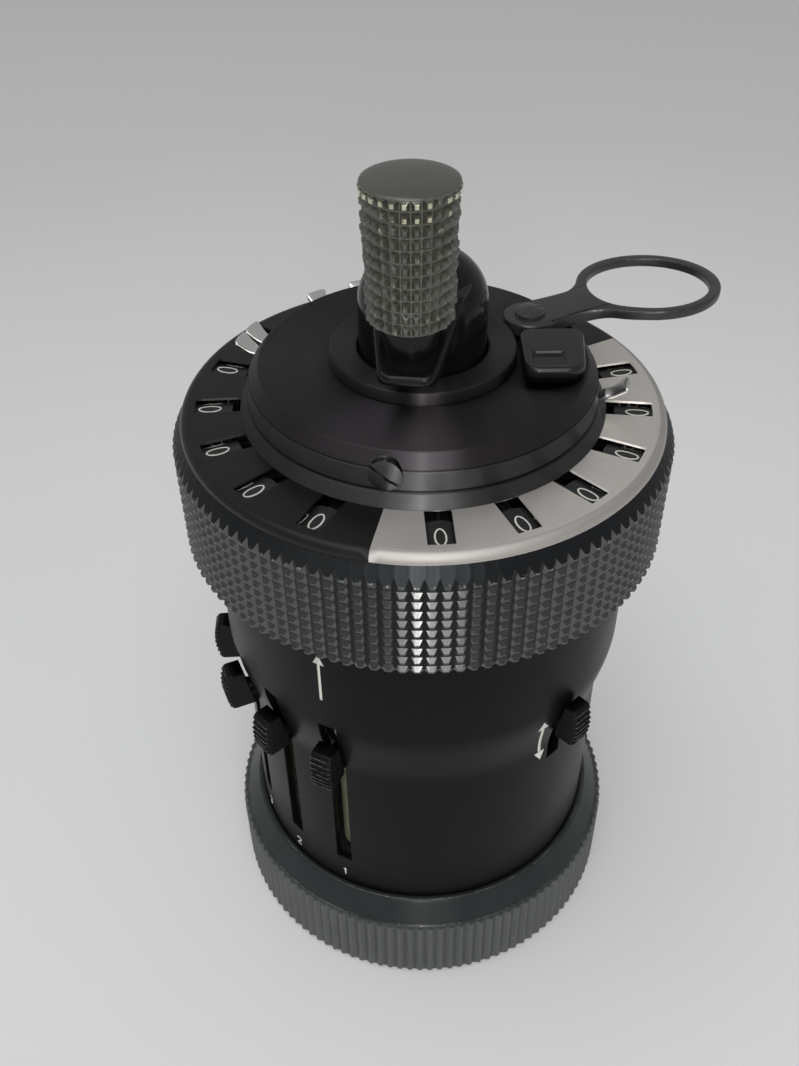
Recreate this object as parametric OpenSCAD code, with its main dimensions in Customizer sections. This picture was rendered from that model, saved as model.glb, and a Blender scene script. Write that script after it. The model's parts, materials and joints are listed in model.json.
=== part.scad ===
// Mechanical pocket calculator, a stepped-drum machine about the size of a small jar.
// Millimetres, +Z up, origin at the centre of the underside of the base.
// Angles are counted from the front (-Y) and grow towards +X.

/* [Base] */
// How far the fluted base stands out past the housing
base_out = 3.2; // [2.6:0.1:5]
// Height of the fluted side
base_h = 11; // [9:0.1:14]
// Height of the sloping shoulder above the flutes
shoulder_h = 2.3; // [1.6:0.1:4]
// Thickness of the base's floor
floor_t = 2; // [1.4:0.1:3]
// Chamfer round the lower edge
base_edge = 1; // [0.5:0.1:1.6]
// Number of flutes round the base
base_flutes = 120; // [60:4:150]
// Depth of a flute
flute_depth = 0.45; // [0.2:0.05:0.6]

/* [Housing] */
// Outer diameter of the housing
body_d = 44; // [43:0.1:46]
// Wall of the housing
wall = 1; // [0.8:0.05:1.2]
// Height from the shoulder to the carriage
body_h = 45.7; // [44:0.1:50]
// Height of the straight lower part
straight_h = 22.7; // [20:0.1:25]
// Height of the flare between the straight part and the collar
flare_h = 9; // [6:0.1:12]
// How far the collar stands out past the straight part
collar_out = 1.5; // [1:0.1:2]
// Length of the collar hidden inside the carriage ring
collar_lap = 4.2; // [3.8:0.1:5]

/* [Setting slides] */
// Number of setting slides
slide_count = 8; // [6:1:8]
// Angle between neighbouring places of every register
place_deg = 20; // [19:0.5:20.5]
// Angle of the units place
units_deg = -27; // [-30:0.5:-20]
// Travel of a slide for one digit
digit_step = 2; // [1.8:0.05:2.1]
// Height of the lower end of a slot above the shoulder
slot_foot = 4.8; // [4:0.1:6]
// Width of a slot
slot_w = 2; // [1.8:0.1:2.4]
// Height of the part of the slot that shows the digit
digit_window = 6; // [5:0.1:7]
// Width of a thumb knob
knob_w = 3.2; // [2.6:0.1:4]
// Height of a thumb knob
knob_h = 5.6; // [5:0.1:7]
// Height of a knob above the housing
knob_out = 3.5; // [2.8:0.1:4]
// Number of grip ridges on a knob
knob_ridges = 5; // [3:1:7]
// Height of the guide stem in the slot
stem_h = 2.4; // [2.2:0.1:3]
// Travel of the reversing lever
reverse_travel = 5; // [3:0.1:5.5]
// Height of the reversing slot's lower end above the slide's slots
reverse_rise = 15.7; // [14:0.1:17]

/* [Carriage] */
// How far the knurled carriage ring stands out past the collar
ring_out = 3; // [2.7:0.1:4.5]
// Height of the knurl
ring_h = 12; // [11:0.1:14]
// Knurl columns round the ring
ring_flutes = 120; // [60:4:150]
// Depth of the knurl
knurl_depth = 0.55; // [0.3:0.05:0.7]
// Wall of the carriage ring
ring_wall = 2; // [1.6:0.1:2.4]
// Height of the smooth conical band above the knurl
band_h = 1; // [0.6:0.1:2]
// Slope of the conical band, inwards over its height
band_slope = 0.75; // [0.6:0.05:1]
// Thickness of the dial covers
cover_t = 1.1; // [0.9:0.05:1.6]
// Rounding of the covers' outer edge
cover_round = 0.9; // [0.5:0.05:0.9]
// Lift of the carriage before it can be turned
carriage_lift = 3; // [2:0.1:3]

/* [Registers] */
// Places of the result register
result_places = 11; // [9:1:11]
// Places of the revolution counter
counter_places = 6; // [5:1:6]
// Diameter of a numeral dial
dial_d = 6.2; // [5.6:0.1:6.4]
// Length of the numbered rim of a dial
dial_len = 4.2; // [3.6:0.1:4.6]
// Width of a dial window
window_w = 2.6; // [2:0.1:3]
// Length of a dial window along the radius
window_len = 5; // [4:0.1:5.4]
// Thickness of a cover over the dials
window_t = 0.25; // [0.2:0.05:0.4]
// Diameter of a dial's toothed hub
dial_hub_d = 3.8; // [3.2:0.1:4]
// Diameter of a dial pin
dial_pin_d = 1.6; // [1.2:0.1:1.8]

/* [Clearing deck] */
// How far the stepped ring's foot stands out past the band
foot_out = 0.5; // [0.3:0.05:1]
// Height of the foot below the marker groove
foot_h = 1.5; // [1.2:0.1:2]
// Height of the marker groove
groove_h = 0.7; // [0.6:0.05:1]
// Depth of the marker groove
groove_depth = 0.9; // [0.7:0.05:1.2]
// Diameter of the band above the groove
upper_band_d = 37.2; // [36:0.1:38]
// Height of the band above the groove
upper_band_h = 1.35; // [1.1:0.05:2]
// How far the clearing deck's lower edge lies inside the band
deck_in = 0.7; // [0.5:0.05:1.2]
// How far the clearing deck's side slopes inwards
deck_slope = 1.05; // [0.6:0.05:1.6]
// Thickness of the clearing deck
deck_t = 1.45; // [1.2:0.05:2]
// Diameter of the finger ring
finger_ring_d = 15.5; // [14:0.1:17]
// Width of the finger ring's band
finger_band = 1.2; // [1:0.1:2]
// Thickness of the finger ring
finger_t = 1.1; // [0.8:0.1:1.4]
// Distance from the lever's pivot to the middle of the finger ring
lever_reach = 14.5; // [13.5:0.1:15.5]
// Distance of the lever's pivot from the axis
pivot_r = 12.7; // [12.6:0.1:13]
// Angle of the lever's pivot
pivot_deg = 116; // [100:1:125]
// Direction of the lever, counted like the other angles
lever_deg = 113; // [105:1:120]
// Thickness of the lever
lever_t = 1.5; // [1:0.1:1.6]
// Angles of the decimal markers
marker_degs = [-110, -117, -145, -160, 82];
// Width of a decimal marker
marker_w = 1.5; // [1:0.1:1.6]

/* [Crank] */
// Distance of the grip from the axis
crank_r = 10.8; // [10:0.1:11.5]
// Resting angle of the crank
crank_deg = -7; // [-15:1:0]
// Diameter of the crank's hub
hub_d = 13; // [12.4:0.1:13.4]
// Height of the hub's dome
dome_h = 5.5; // [4:0.1:7]
// Distance from the axis to the end of the arm
arm_reach = 14.9; // [14.2:0.1:16]
// Width of the arm's end
arm_end_w = 5.4; // [4.8:0.1:6]
// Rounding of the arm's end corners
arm_corner = 1.2; // [0.8:0.1:1.6]
// Thickness of the arm at its end
arm_t = 0.9; // [0.8:0.05:1.4]
// Height at which the arm leaves the hub's dome
arm_rise = 4; // [3:0.1:4.5]
// Diameter of the neck under the grip
neck_d = 5.4; // [4.8:0.1:5.6]
// Height of the knurl above the underside of the arm
grip_rise = 4.7; // [4.2:0.1:6]
// Diameter of the grip
grip_d = 8.8; // [8:0.1:9.4]
// How much less the radius of the grip is at its lower end
grip_taper = 0.35; // [0:0.05:0.5]
// Height of the grip's knurl
grip_h = 12.8; // [10:0.1:15]
// Knurl columns round the grip
grip_flutes = 26; // [18:2:32]
// Knurl rows up the grip
grip_rows = 11; // [6:1:12]
// Depth of the grip's knurl
grip_knurl = 0.45; // [0.2:0.05:0.6]
// Lift of the crank for subtraction
crank_lift = 4; // [3:0.1:4]

/* [Mechanism] */
// Diameter of the main shaft
shaft_d = 6; // [5:0.1:7]
// Thickness of the bearing plates
plate_t = 2.2; // [1.8:0.1:3]
// Diameter of the frame pillars
pillar_d = 2.8; // [2.4:0.1:3.2]
// Diameter of a setting shaft's helical spindle
spindle_d = 3.8; // [3.4:0.1:3.9]
// Diameter of a setting shaft's digit drum
digit_drum_d = 5.8; // [5.4:0.1:5.9]
// Diameter of a transmission shaft
trans_d = 1.8; // [1.4:0.1:2]
// Diameter of a sliding gear
gear_d = 4; // [3.6:0.1:4.1]
// Height of a sliding gear
gear_h = 1.4; // [1:0.1:1.6]
// Height of the stepped drum's teeth
drum_tooth = 2.6; // [2:0.1:3]
// Wall of the carriage sleeve
sleeve_wall = 1; // [0.8:0.05:1.2]
// Turns of the carriage spring
spring_turns = 7; // [5:1:9]
// Wire diameter of the carriage spring
spring_wire = 0.8; // [0.6:0.05:0.9]

/* [Fits] */
// Running clearance between a shaft and its hole, or two sliding faces
run = 0.05; // [0.02:0.01:0.08]
// Clear gap between pieces that pass each other
gap = 0.3; // [0.25:0.05:0.4]

/* [Hidden] */
$fn = 96;

// Colours
black = "#1d1d1f";
satin = "#29292b";
silver = "#a9a7a1";
steel = "#8d8f92";
brass = "#9b8a4e";

// Small sizes that several pieces share
over = 1;           // how far a cut runs past a face
edge = 0.3;         // broken edge of a turned piece
land = 0.06;        // how far sharp flutes stand past the turned tip, which leaves a narrow flat
fit = 0.1;          // clearance of a plate in the housing
screw_slot_w = 0.4; // width of a screw's slot
lever_head_h = 0.65;
flange_h = 1.4;
lap = 0.5;          // short overlap of two joined solids
hub_in = 1.1;       // length of the crank's hub inside the carriage sleeve
hub_side_h = 0.8;   // straight side of the hub above the underside of the arm

// Heights of the outer pieces
shoulder_z = base_h + shoulder_h;
ring_z = shoulder_z + body_h;
knurl_z = ring_z + ring_h;
cover_z = knurl_z + band_h;
dial_z = cover_z + cover_t;
groove_z = dial_z + foot_h;
upper_band_z = groove_z + groove_h;
deck_z = upper_band_z + upper_band_h + run;
deck_top_z = deck_z + deck_t;
lever_z = deck_top_z + run;
flange_z = deck_top_z + run;
lever_head_z = lever_z + lever_t + run;
crank_z = lever_head_z + lever_head_h + carriage_lift + gap;
grip_z = crank_z + grip_rise;
dome_z = crank_z + hub_side_h;
hub_low_z = deck_top_z - hub_in;

// Radii of the outer pieces
body_r = body_d / 2;
body_in = body_r - wall;
base_r = body_r + base_out;
collar_r = body_r + collar_out;
ring_r = collar_r + ring_out;
ring_in = ring_r - ring_wall;
skirt_in = collar_r + gap + fit;
band_r = ring_r - band_slope;
cover_step = edge;
cover_r = band_r - cover_step;
hub_r = hub_d / 2;
sleeve_in = hub_r + 2 * fit;
sleeve_r = sleeve_in + sleeve_wall;
flange_w = 1.95;
flange_r = sleeve_r + flange_w;
bearing_r = sleeve_r + run;
upper_band_r = upper_band_d / 2;
foot_r = upper_band_r + foot_out;
deck_r = upper_band_r - deck_in;
deck_top_r = deck_r - deck_slope;

// Angles of the register places
sector_gap = (360 - place_deg * (result_places + counter_places - 2)) / 2;
function result_deg(i) = units_deg - place_deg * (i - 1);
function counter_deg(i) = units_deg + sector_gap + place_deg * (i - 1);
sector_start = units_deg + sector_gap / 2;
counter_sector = sector_gap + place_deg * (counter_places - 1);
trans_degs = concat(
  [for (i = [1:result_places]) result_deg(i)],
  [for (i = [1:counter_places]) counter_deg(i)]);
slide_degs = [for (i = [1:slide_count]) result_deg(i)];
reverse_deg = counter_deg(3);

// Slides, from the slot's lower end upwards
slot_z = shoulder_z + slot_foot;
travel = 9 * digit_step;
stem_z = slot_z + gap + travel;
slot_top = stem_z + stem_h + digit_window;
knob_drop = 0.2;
fork_t = 0.7;
fork_z = stem_z + stem_h / 2 - fork_t;
slide_gear_z = fork_z + fork_t + run;
reverse_slot_z = slot_z + reverse_rise;
reverse_stem_z = reverse_slot_z + gap + reverse_travel;

// Radii of the mechanism, from the housing's wall inwards
digit_drum_gap = 0.1;
set_r = body_in - digit_drum_gap - digit_drum_d / 2;
spindle_r = spindle_d / 2;
fork_room = 1.3;
trans_r = set_r - spindle_r - fork_room - gear_d / 2;
drum_tip_r = trans_r - gear_d / 2 - gap;
drum_core_r = drum_tip_r - drum_tooth;
shaft_r = shaft_d / 2;
journal_r = 1;
pillar_r = body_in - gap - pillar_d / 2;
pillar_degs = [for (i = [1, 5, 9]) units_deg + place_deg * i];

// Heights of the mechanism
lower_plate_z = shoulder_z + fit;
upper_plate_top = ring_z - lap;
upper_plate_z = upper_plate_top - plate_t;
drum_rim = 2;
drum_top_z = slide_gear_z + gear_h + drum_rim;
drum_low_z = fork_z - travel - gap - drum_rim / 2;
bell_z = drum_top_z + crank_lift + 2 * gap;
bell_top_z = upper_plate_z - gap;
pocket_z = dial_z - window_t;
dial_axis_z = pocket_z - gap + fit - dial_d / 2;
crown_top_z = dial_axis_z - dial_hub_d / 2 - gap;
crown_h = 1.2;
dial_end_r = ring_in - gap;
dial_in_r = dial_end_r - dial_len;
carrier_r = trans_r + edge;
hub_end_r = carrier_r + gap;
sleeve_z = upper_plate_top + run;
sleeve_floor = 2;
digit_turn = 324;

// Moves its children to an angle round the axis, from the front.
module at(deg, r = 0, z = 0) {
  rotate([0, 0, deg]) translate([0, -r, z]) children();
}

// Lays its children's +Z along the outward radius at the front.
module radial() {
  rotate([90, 0, 0]) children();
}

// A drilled disc or tube.
module tube(r, bore, h) {
  difference() {
    cylinder(r = r, h = h);
    translate([0, 0, -1]) cylinder(r = bore, h = h + 2);
  }
}

// Outline of V-shaped flutes round a circle.
function flute_points(r, depth, n) =
  [for (i = [0:2 * n - 1]) (r + land - (i % 2) * depth) * [cos(i * 180 / n), sin(i * 180 / n)]];

// Outline of a small gear with straight-sided teeth.
function gear_points(n, root, tip) =
  [for (i = [0:n - 1], k = [0:3])
    let (a = (i + [0.05, 0.3, 0.45, 0.7][k]) * 360 / n, q = [root, tip, tip, root][k])
    q * [cos(a), sin(a)]];

module small_gear(root, tip, bore, h) {
  linear_extrude(h) difference() {
    polygon(gear_points(10, root, tip));
    circle(r = bore, $fn = 24);
  }
}

// Smooth step from 0 to 1.
function ease(t) = t * t * (3 - 2 * t);

// Outer radius of the housing at a height: straight, then a flare that follows the smooth step.
flare_z = shoulder_z + straight_h;
function housing_r(z) = body_r + (collar_r - body_r) * ease(max(0, min(1, (z - flare_z) / flare_h)));

// Outline of the housing's wall.
function housing_points(inset) = concat(
  [[body_r - inset, floor_t]],
  [for (i = [0:8]) let (z = flare_z + flare_h * i / 8) [housing_r(z) - inset, z]],
  [[collar_r - inset, ring_z + collar_lap]]);

function reversed(list) = [for (i = [len(list) - 1:-1:0]) list[i]];

module slot_cut(deg, low, high) {
  at(deg) translate([-slot_w / 2, -collar_r - over, low])
    cube([slot_w, collar_r - body_in + 2 * over, high - low]);
}

module main_housing() {
  color(black) difference() {
    rotate_extrude() polygon(concat(housing_points(0), reversed(housing_points(wall))));
    for (deg = slide_degs) slot_cut(deg, slot_z, slot_top);
    slot_cut(reverse_deg, reverse_slot_z, reverse_stem_z + stem_h + gap);
  }
}

module base_cup() {
  rim = 0.5;
  color(black) difference() {
    intersection() {
      rotate_extrude() polygon([
        [0, 0], [base_r - base_edge, 0], [base_r, base_edge], [base_r, base_h],
        [base_r - flute_depth, base_h], [body_r + rim, shoulder_z], [0, shoulder_z]]);
      translate([0, 0, -over]) linear_extrude(shoulder_z + 2 * over)
        polygon(flute_points(base_r, flute_depth, base_flutes));
    }
    translate([0, 0, floor_t]) cylinder(r = body_r + run, h = shoulder_z);
  }
}

// Holes of the bearing plates: main shaft, transmission shafts and setting shafts.
module plate_holes() {
  deep = plate_t + 2 * over;
  translate([0, 0, -over]) cylinder(r = shaft_r + run, h = deep);
  for (deg = trans_degs) at(deg, trans_r, -over) cylinder(r = trans_d / 2 + run, h = deep, $fn = 24);
  for (deg = slide_degs) at(deg, set_r, -over) cylinder(r = journal_r + run, h = deep, $fn = 24);
}

module lower_plate() {
  color(steel) {
    translate([0, 0, lower_plate_z]) difference() {
      cylinder(r = body_in - fit, h = plate_t);
      plate_holes();
    }
    for (deg = pillar_degs) at(deg, pillar_r, floor_t)
      cylinder(d = pillar_d, h = upper_plate_z - floor_t);
  }
}

module upper_plate() {
  color(steel) translate([0, 0, upper_plate_z]) difference() {
    cylinder(r = collar_r - wall - fit, h = plate_t);
    plate_holes();
  }
}

module transmission_shafts() {
  color(steel) for (deg = trans_degs) at(deg, trans_r) rotate([0, 0, 9]) {
    translate([0, 0, lower_plate_z]) cylinder(d = trans_d, h = crown_top_z - lower_plate_z, $fn = 24);
    translate([0, 0, upper_plate_z - 4]) cylinder(d = trans_d + 0.8, h = 3, $fn = 24);
    translate([0, 0, crown_top_z - crown_h]) small_gear(1.1, 1.7, 0.2, crown_h);
  }
}

module carry_bell() {
  skirt = drum_tip_r;
  web = 1.8;
  color(brass) {
    rotate_extrude() polygon([
      [shaft_r + run, bell_z + 1], [shaft_r + 2, bell_z + 1], [shaft_r + 2, bell_top_z - web],
      [skirt - 1.2, bell_top_z - web], [skirt - 1.2, bell_z], [skirt, bell_z],
      [skirt, bell_top_z], [shaft_r + run, bell_top_z]]);
    // Carry teeth, one behind the other as the bell passes the places.
    for (i = [0:8]) at(120 + 8 * i, skirt - 0.5, bell_z + 0.8 * (i % 3)) cylinder(r = 0.8, h = 2, $fn = 24);
  }
}

module main_shaft() {
  color(steel) translate([0, 0, floor_t + gap + 2])
    cylinder(r = shaft_r, h = dome_z - 1 - floor_t - gap - 2);
}

// Stepped drum: the tooth for each digit starts one step lower than the last.
module step_drum() {
  tooth_w = 0.7;
  color(brass) difference() {
    union() {
      translate([0, 0, drum_low_z]) cylinder(r = drum_core_r, h = drum_top_z - drum_low_z);
      for (i = [1:9]) at(50 + 8 * i) translate([-tooth_w / 2, -drum_tip_r, drum_low_z + 0.5])
        cube([tooth_w, drum_tooth + 0.5, slide_gear_z + gear_h - digit_step * i - drum_low_z]);
    }
    translate([0, 0, drum_low_z - 1]) cylinder(r = shaft_r + run / 2, h = drum_top_z - drum_low_z + 2);
  }
}

// Radius of the hub's elliptical dome at a height above the underside of the arm.
function dome_r(h) = hub_r * sqrt(1 - pow((h - hub_side_h) / dome_h, 2));
neck_r = neck_d / 2;
neck_z = crank_z + arm_t + edge;

// Domed hub and the arm that slopes from the dome down to its rounded end, with a seat for the grip.
module crank_arm() {
  arm_hub_r = dome_r(arm_rise);
  color(black) difference() {
    union() {
      rotate_extrude() polygon(concat(
        [[0, hub_low_z], [hub_r, hub_low_z]],
        [for (a = [0:9:81]) [hub_r * cos(a), dome_z + dome_h * sin(a)]],
        [[0, dome_z + dome_h]]));
      hull() {
        for (side = [-1, 1]) at(crank_deg, arm_reach - arm_corner, crank_z)
          translate([side * (arm_end_w / 2 - arm_corner), 0, 0])
            cylinder(r = arm_corner, h = arm_t, $fn = 32);
        translate([0, 0, crank_z]) cylinder(r = arm_hub_r, h = arm_rise, $fn = 32);
      }
    }
    translate([0, 0, hub_low_z - over]) cylinder(r = shaft_r + run / 2, h = dome_z - hub_low_z);
    at(crank_deg, crank_r, neck_z) cylinder(r = neck_r + run, h = dome_h);
  }
}

// A point of the grip: columns count round it.
function grip_point(r, column, z) = let (a = 360 * column / grip_flutes) [r * cos(a), r * sin(a), z];

// How far the grip is drawn in at a row of its knurling.
function taper(j) = grip_taper * (1 - j / grip_rows);

// Grip with a rounded neck and pyramid knurling: each cell of the grid rises to a point.
module crank_grip() {
  n = grip_flutes;
  tip = grip_d / 2;
  root = tip - grip_knurl;
  row = grip_h / grip_rows;
  neck_h = grip_z - neck_z;
  neck_rows = 5;
  neck = [for (j = [0:neck_rows - 1], i = [0:n - 1])
    let (t = j / (neck_rows - 1))
    grip_point(neck_r * (0.7 + 0.3 * sqrt(1 - pow(1 - t, 2))), i, neck_h * t)];
  corners = [for (j = [0:grip_rows], i = [0:n - 1]) grip_point(root - taper(j), i, neck_h + row * j)];
  tips = [for (j = [0:grip_rows - 1], i = [0:n - 1])
    grip_point(tip - taper(j + 0.5), i + 0.5, neck_h + row * (j + 0.5))];
  top = n * (neck_rows + grip_rows);
  bands = [for (j = [0:neck_rows - 1], i = [0:n - 1])
    let (a = n * j + i, b = n * j + (i + 1) % n)
    each [[a, a + n, b], [b, a + n, b + n]]];
  cells = [for (j = [0:grip_rows - 1], i = [0:n - 1])
    let (a = n * (neck_rows + j) + i, b = n * (neck_rows + j) + (i + 1) % n,
         t = len(neck) + len(corners) + n * j + i)
    each [[a, a + n, t], [a + n, b + n, t], [b + n, b, t], [b, a, t]]];
  ends = [for (k = [1:n - 2]) each [[0, k, k + 1], [top, top + k + 1, top + k]]];
  color(black) at(crank_deg, crank_r, neck_z)
    polyhedron(concat(neck, corners, tips), concat(bands, cells, ends));
}

// Guide of the carriage on the main shaft; its flange holds the clearing deck down.
module carriage_sleeve() {
  color(satin) rotate_extrude() polygon([
    [shaft_r + run, sleeve_z], [sleeve_r, sleeve_z], [sleeve_r, flange_z], [flange_r, flange_z],
    [flange_r, flange_z + flange_h - edge], [flange_r - edge, flange_z + flange_h],
    [sleeve_in, flange_z + flange_h], [sleeve_in, sleeve_z + sleeve_floor],
    [shaft_r + run, sleeve_z + sleeve_floor]]);
}

// Points of a ring of the spring's wire, and the coil swept as one closed tube.
spring_sides = 6;
spring_rings = 8 * spring_turns;
spring_r = (shaft_r + sleeve_in) / 2;
spring_low = sleeve_z + sleeve_floor + spring_wire / 2 + run;
spring_high = hub_low_z - spring_wire / 2 - gap;
spring_pitch = (spring_high - spring_low) / spring_turns;
function spring_ring(i) = let (a = 45 * i)
  [for (k = [0:spring_sides - 1]) let (b = 360 * k / spring_sides, q = spring_r + spring_wire / 2 * cos(b))
    [q * cos(a), q * sin(a), spring_low + spring_pitch * i / 8 + spring_wire / 2 * sin(b)]];

module carriage_spring() {
  points = [for (i = [0:spring_rings]) each spring_ring(i)];
  last = spring_sides * spring_rings;
  sides = [for (i = [0:spring_rings - 1], k = [0:spring_sides - 1])
    let (a = spring_sides * i + k, b = spring_sides * i + (k + 1) % spring_sides)
    each [[a, b, a + spring_sides], [b, b + spring_sides, a + spring_sides]]];
  ends = [for (k = [1:spring_sides - 2]) each [[0, k + 1, k], [last, last + k, last + k + 1]]];
  color(steel) polyhedron(points, concat(sides, ends));
}

module carriage_ring() {
  color(black) intersection() {
    rotate_extrude() polygon([
      [skirt_in, ring_z], [ring_r - edge, ring_z], [ring_r, ring_z + edge], [ring_r, knurl_z],
      [band_r, cover_z], [ring_in, cover_z],
      [ring_in, ring_z + collar_lap + gap], [skirt_in, ring_z + collar_lap + gap]]);
    linear_extrude(cover_z + over) polygon(flute_points(ring_r, knurl_depth, ring_flutes));
  }
}

// Profile of the dial covers, with the rounded outer edge and the pocket over the dials.
function cover_points() = concat(
  [[bearing_r, cover_z], [dial_in_r - gap, cover_z], [dial_in_r - gap, pocket_z], [ring_in, pocket_z]],
  [[ring_in, cover_z], [cover_r, cover_z], [cover_r, dial_z - cover_round]],
  [for (a = [15:15:90]) [cover_r - cover_round * (1 - cos(a)), dial_z - cover_round * (1 - sin(a))]],
  [[bearing_r, dial_z]]);

module cover(start, span, degs) {
  difference() {
    rotate([0, 0, start - 90]) rotate_extrude(angle = span) polygon(cover_points());
    for (deg = degs) at(deg) translate([-window_w / 2, edge - dial_end_r, cover_z - over])
      cube([window_w, window_len, cover_t + 2 * over]);
  }
}

module result_cover() {
  color(black) cover(sector_start + counter_sector, 360 - counter_sector,
    [for (i = [1:result_places]) result_deg(i)]);
}

module counter_cover() {
  color(silver) cover(sector_start, counter_sector, [for (i = [1:counter_places]) counter_deg(i)]);
}

// Carrier with the dials' pins, which turns on the sleeve.
carrier_wall = 1.35;
module dial_carrier() {
  color(steel) {
    difference() {
      union() {
        translate([0, 0, sleeve_z + gap])
          cylinder(r = bearing_r + carrier_wall, h = cover_z - sleeve_z - gap);
        translate([0, 0, crown_top_z + gap]) cylinder(r = carrier_r, h = cover_z - crown_top_z - gap);
      }
      translate([0, 0, sleeve_z]) cylinder(r = bearing_r, h = cover_z);
    }
    for (deg = trans_degs) at(deg, carrier_r - edge, dial_axis_z) radial()
      cylinder(d = dial_pin_d, h = ring_in - fit - carrier_r + edge, $fn = 24);
  }
}

// Stepped ring on the covers, with the groove that the decimal markers slide in.
module marker_ring() {
  top = upper_band_z + upper_band_h;
  color(black) difference() {
    rotate_extrude() polygon([
      [bearing_r, dial_z], [foot_r, dial_z], [foot_r, groove_z - edge], [foot_r - edge, groove_z],
      [upper_band_r - groove_depth, groove_z], [upper_band_r - groove_depth, upper_band_z],
      [upper_band_r, upper_band_z], [upper_band_r, top - edge], [upper_band_r - edge, top],
      [bearing_r, top]]);
    at(screw_deg, upper_band_r - screw_len - edge, screw_z) radial()
      cylinder(r = screw_shank + run / 2, h = screw_len + edge + over, $fn = 24);
  }
}

// Slotted screw in the side of the stepped ring.
screw_deg = units_deg + 16;
screw_rise = 0.2;
screw_z = upper_band_z + upper_band_h / 2 + screw_rise;
screw_shank = 0.38;
screw_head = 1.55;
screw_head_h = 0.9;
screw_len = 3.8;
module ring_screw() {
  color(black) at(screw_deg, upper_band_r, screw_z) radial() difference() {
    union() {
      translate([0, 0, -screw_len]) cylinder(r = screw_shank, h = screw_len + edge, $fn = 24);
      cylinder(r = screw_head, h = screw_head_h, $fn = 48);
    }
    rotate([0, 0, -35]) translate([-screw_head - over, -screw_slot_w / 2, screw_head_h - screw_slot_w])
      cube([2 * (screw_head + over), screw_slot_w, screw_head_h]);
  }
}

// Place of the lever's pivot.
pivot = pivot_r * [sin(pivot_deg), -cos(pivot_deg)];
lever_pin_r = 1.1;
lever_root_r = pivot_r - flange_r - gap;

// Deck that turns over the stepped ring, with the raised seat beside the lever.
module clearing_deck() {
  seat_h = 1.65;
  seat_w = 8.2;
  seat_round = 1.5;
  recess = 0.4;
  recess_w = 3.6;
  recess_len = 3;
  recess_edge = 0.7;
  seat_back = pivot[1] - lever_root_r - gap;
  seat_front = seat_back - seat_w;
  color(satin) difference() {
    union() {
      rotate_extrude() polygon([
        [bearing_r, deck_z], [deck_r, deck_z], [deck_top_r, deck_top_z], [bearing_r, deck_top_z]]);
      translate([0, 0, deck_top_z]) linear_extrude(seat_h) offset(r = seat_round) offset(delta = -seat_round)
        intersection() {
          circle(r = deck_top_r - edge);
          translate([flange_r + gap, seat_front]) square([deck_top_r, seat_w]);
        }
    }
    translate([flange_r + gap + recess_edge, seat_front + recess_edge, deck_top_z + seat_h - recess])
      cube([recess_w, recess_len, recess + over]);
    translate([pivot[0], pivot[1], deck_z - over])
      cylinder(r = lever_pin_r + run / 2, h = deck_t + 2 * over, $fn = 24);
  }
}

// Lever with the finger ring; its arm narrows between the pivot and the ring.
module clearing_lever() {
  eye_r = finger_ring_d / 2;
  arm_w = 5;
  waist_r = 9;
  waist_in = 0.5;
  color(black) translate([pivot[0], pivot[1], lever_z]) rotate([0, 0, lever_deg]) difference() {
    union() {
      linear_extrude(lever_t) {
        circle(r = lever_root_r);
        difference() {
          translate([-arm_w / 2, -lever_reach]) square([arm_w, lever_reach]);
          for (side = [-1, 1]) translate([side * (waist_r + arm_w / 2 - waist_in), -lever_reach / 3])
            circle(r = waist_r);
        }
      }
      translate([0, -lever_reach, (lever_t - finger_t) / 2]) cylinder(r = eye_r, h = finger_t);
    }
    translate([0, -lever_reach, -over]) cylinder(r = eye_r - finger_band, h = lever_t + 2 * over);
    translate([0, 0, -over]) cylinder(r = lever_pin_r + run, h = lever_t + 2 * over, $fn = 24);
  }
}

// Slotted shoulder screw that the lever swings on.
module lever_screw() {
  head = 1.6;
  color(steel) translate([pivot[0], pivot[1], 0]) difference() {
    union() {
      translate([0, 0, deck_z + fit]) cylinder(r = lever_pin_r, h = lever_head_z - deck_z, $fn = 24);
      translate([0, 0, lever_head_z]) cylinder(r = head, h = lever_head_h, $fn = 48);
    }
    rotate([0, 0, 30]) translate([-head - over, -screw_slot_w / 2, lever_head_z + lever_head_h / 2])
      cube([2 * (head + over), screw_slot_w, lever_head_h]);
  }
}

// Decimal marker: a foot in the groove and a finger tab that rises outwards.
module decimal_marker(i) {
  foot_in = upper_band_r - groove_depth + run;
  out = foot_r;
  low = groove_z + run;
  high = upper_band_z - run;
  tab_out = 2;
  tab_rise = 1.3;
  tab_t = 0.5;
  color(silver) at(marker_degs[i - 1]) translate([marker_w / 2, 0, 0]) rotate([90, 0, -90])
    linear_extrude(marker_w) polygon([
      [foot_in, low], [out, low], [out + tab_out, low + tab_rise],
      [out + tab_out - edge, low + tab_rise + tab_t - fit], [out + fit, high], [foot_in, high]]);
}

// Thumb knob: its back follows the housing's flare, and its face is bowed and ridged.
knob_face = body_r + gap + knob_out;
module thumb_knob(low) {
  bow_r = 8.25;
  ridge_r = 0.35;
  first = 0.5;
  pitch = (knob_h - 2 * first) / knob_ridges;
  translate([knob_w / 2, 0, low]) rotate([90, 0, -90]) linear_extrude(knob_w) difference() {
    intersection() {
      polygon([
        [housing_r(low) + gap, 0], [knob_face, 0],
        [knob_face, knob_h], [housing_r(low + knob_h) + gap, knob_h]]);
      translate([knob_face - bow_r, knob_h / 2]) circle(r = bow_r);
    }
    for (i = [0:knob_ridges]) translate([knob_face, first + pitch * i]) circle(r = ridge_r, $fn = 24);
  }
}

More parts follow.
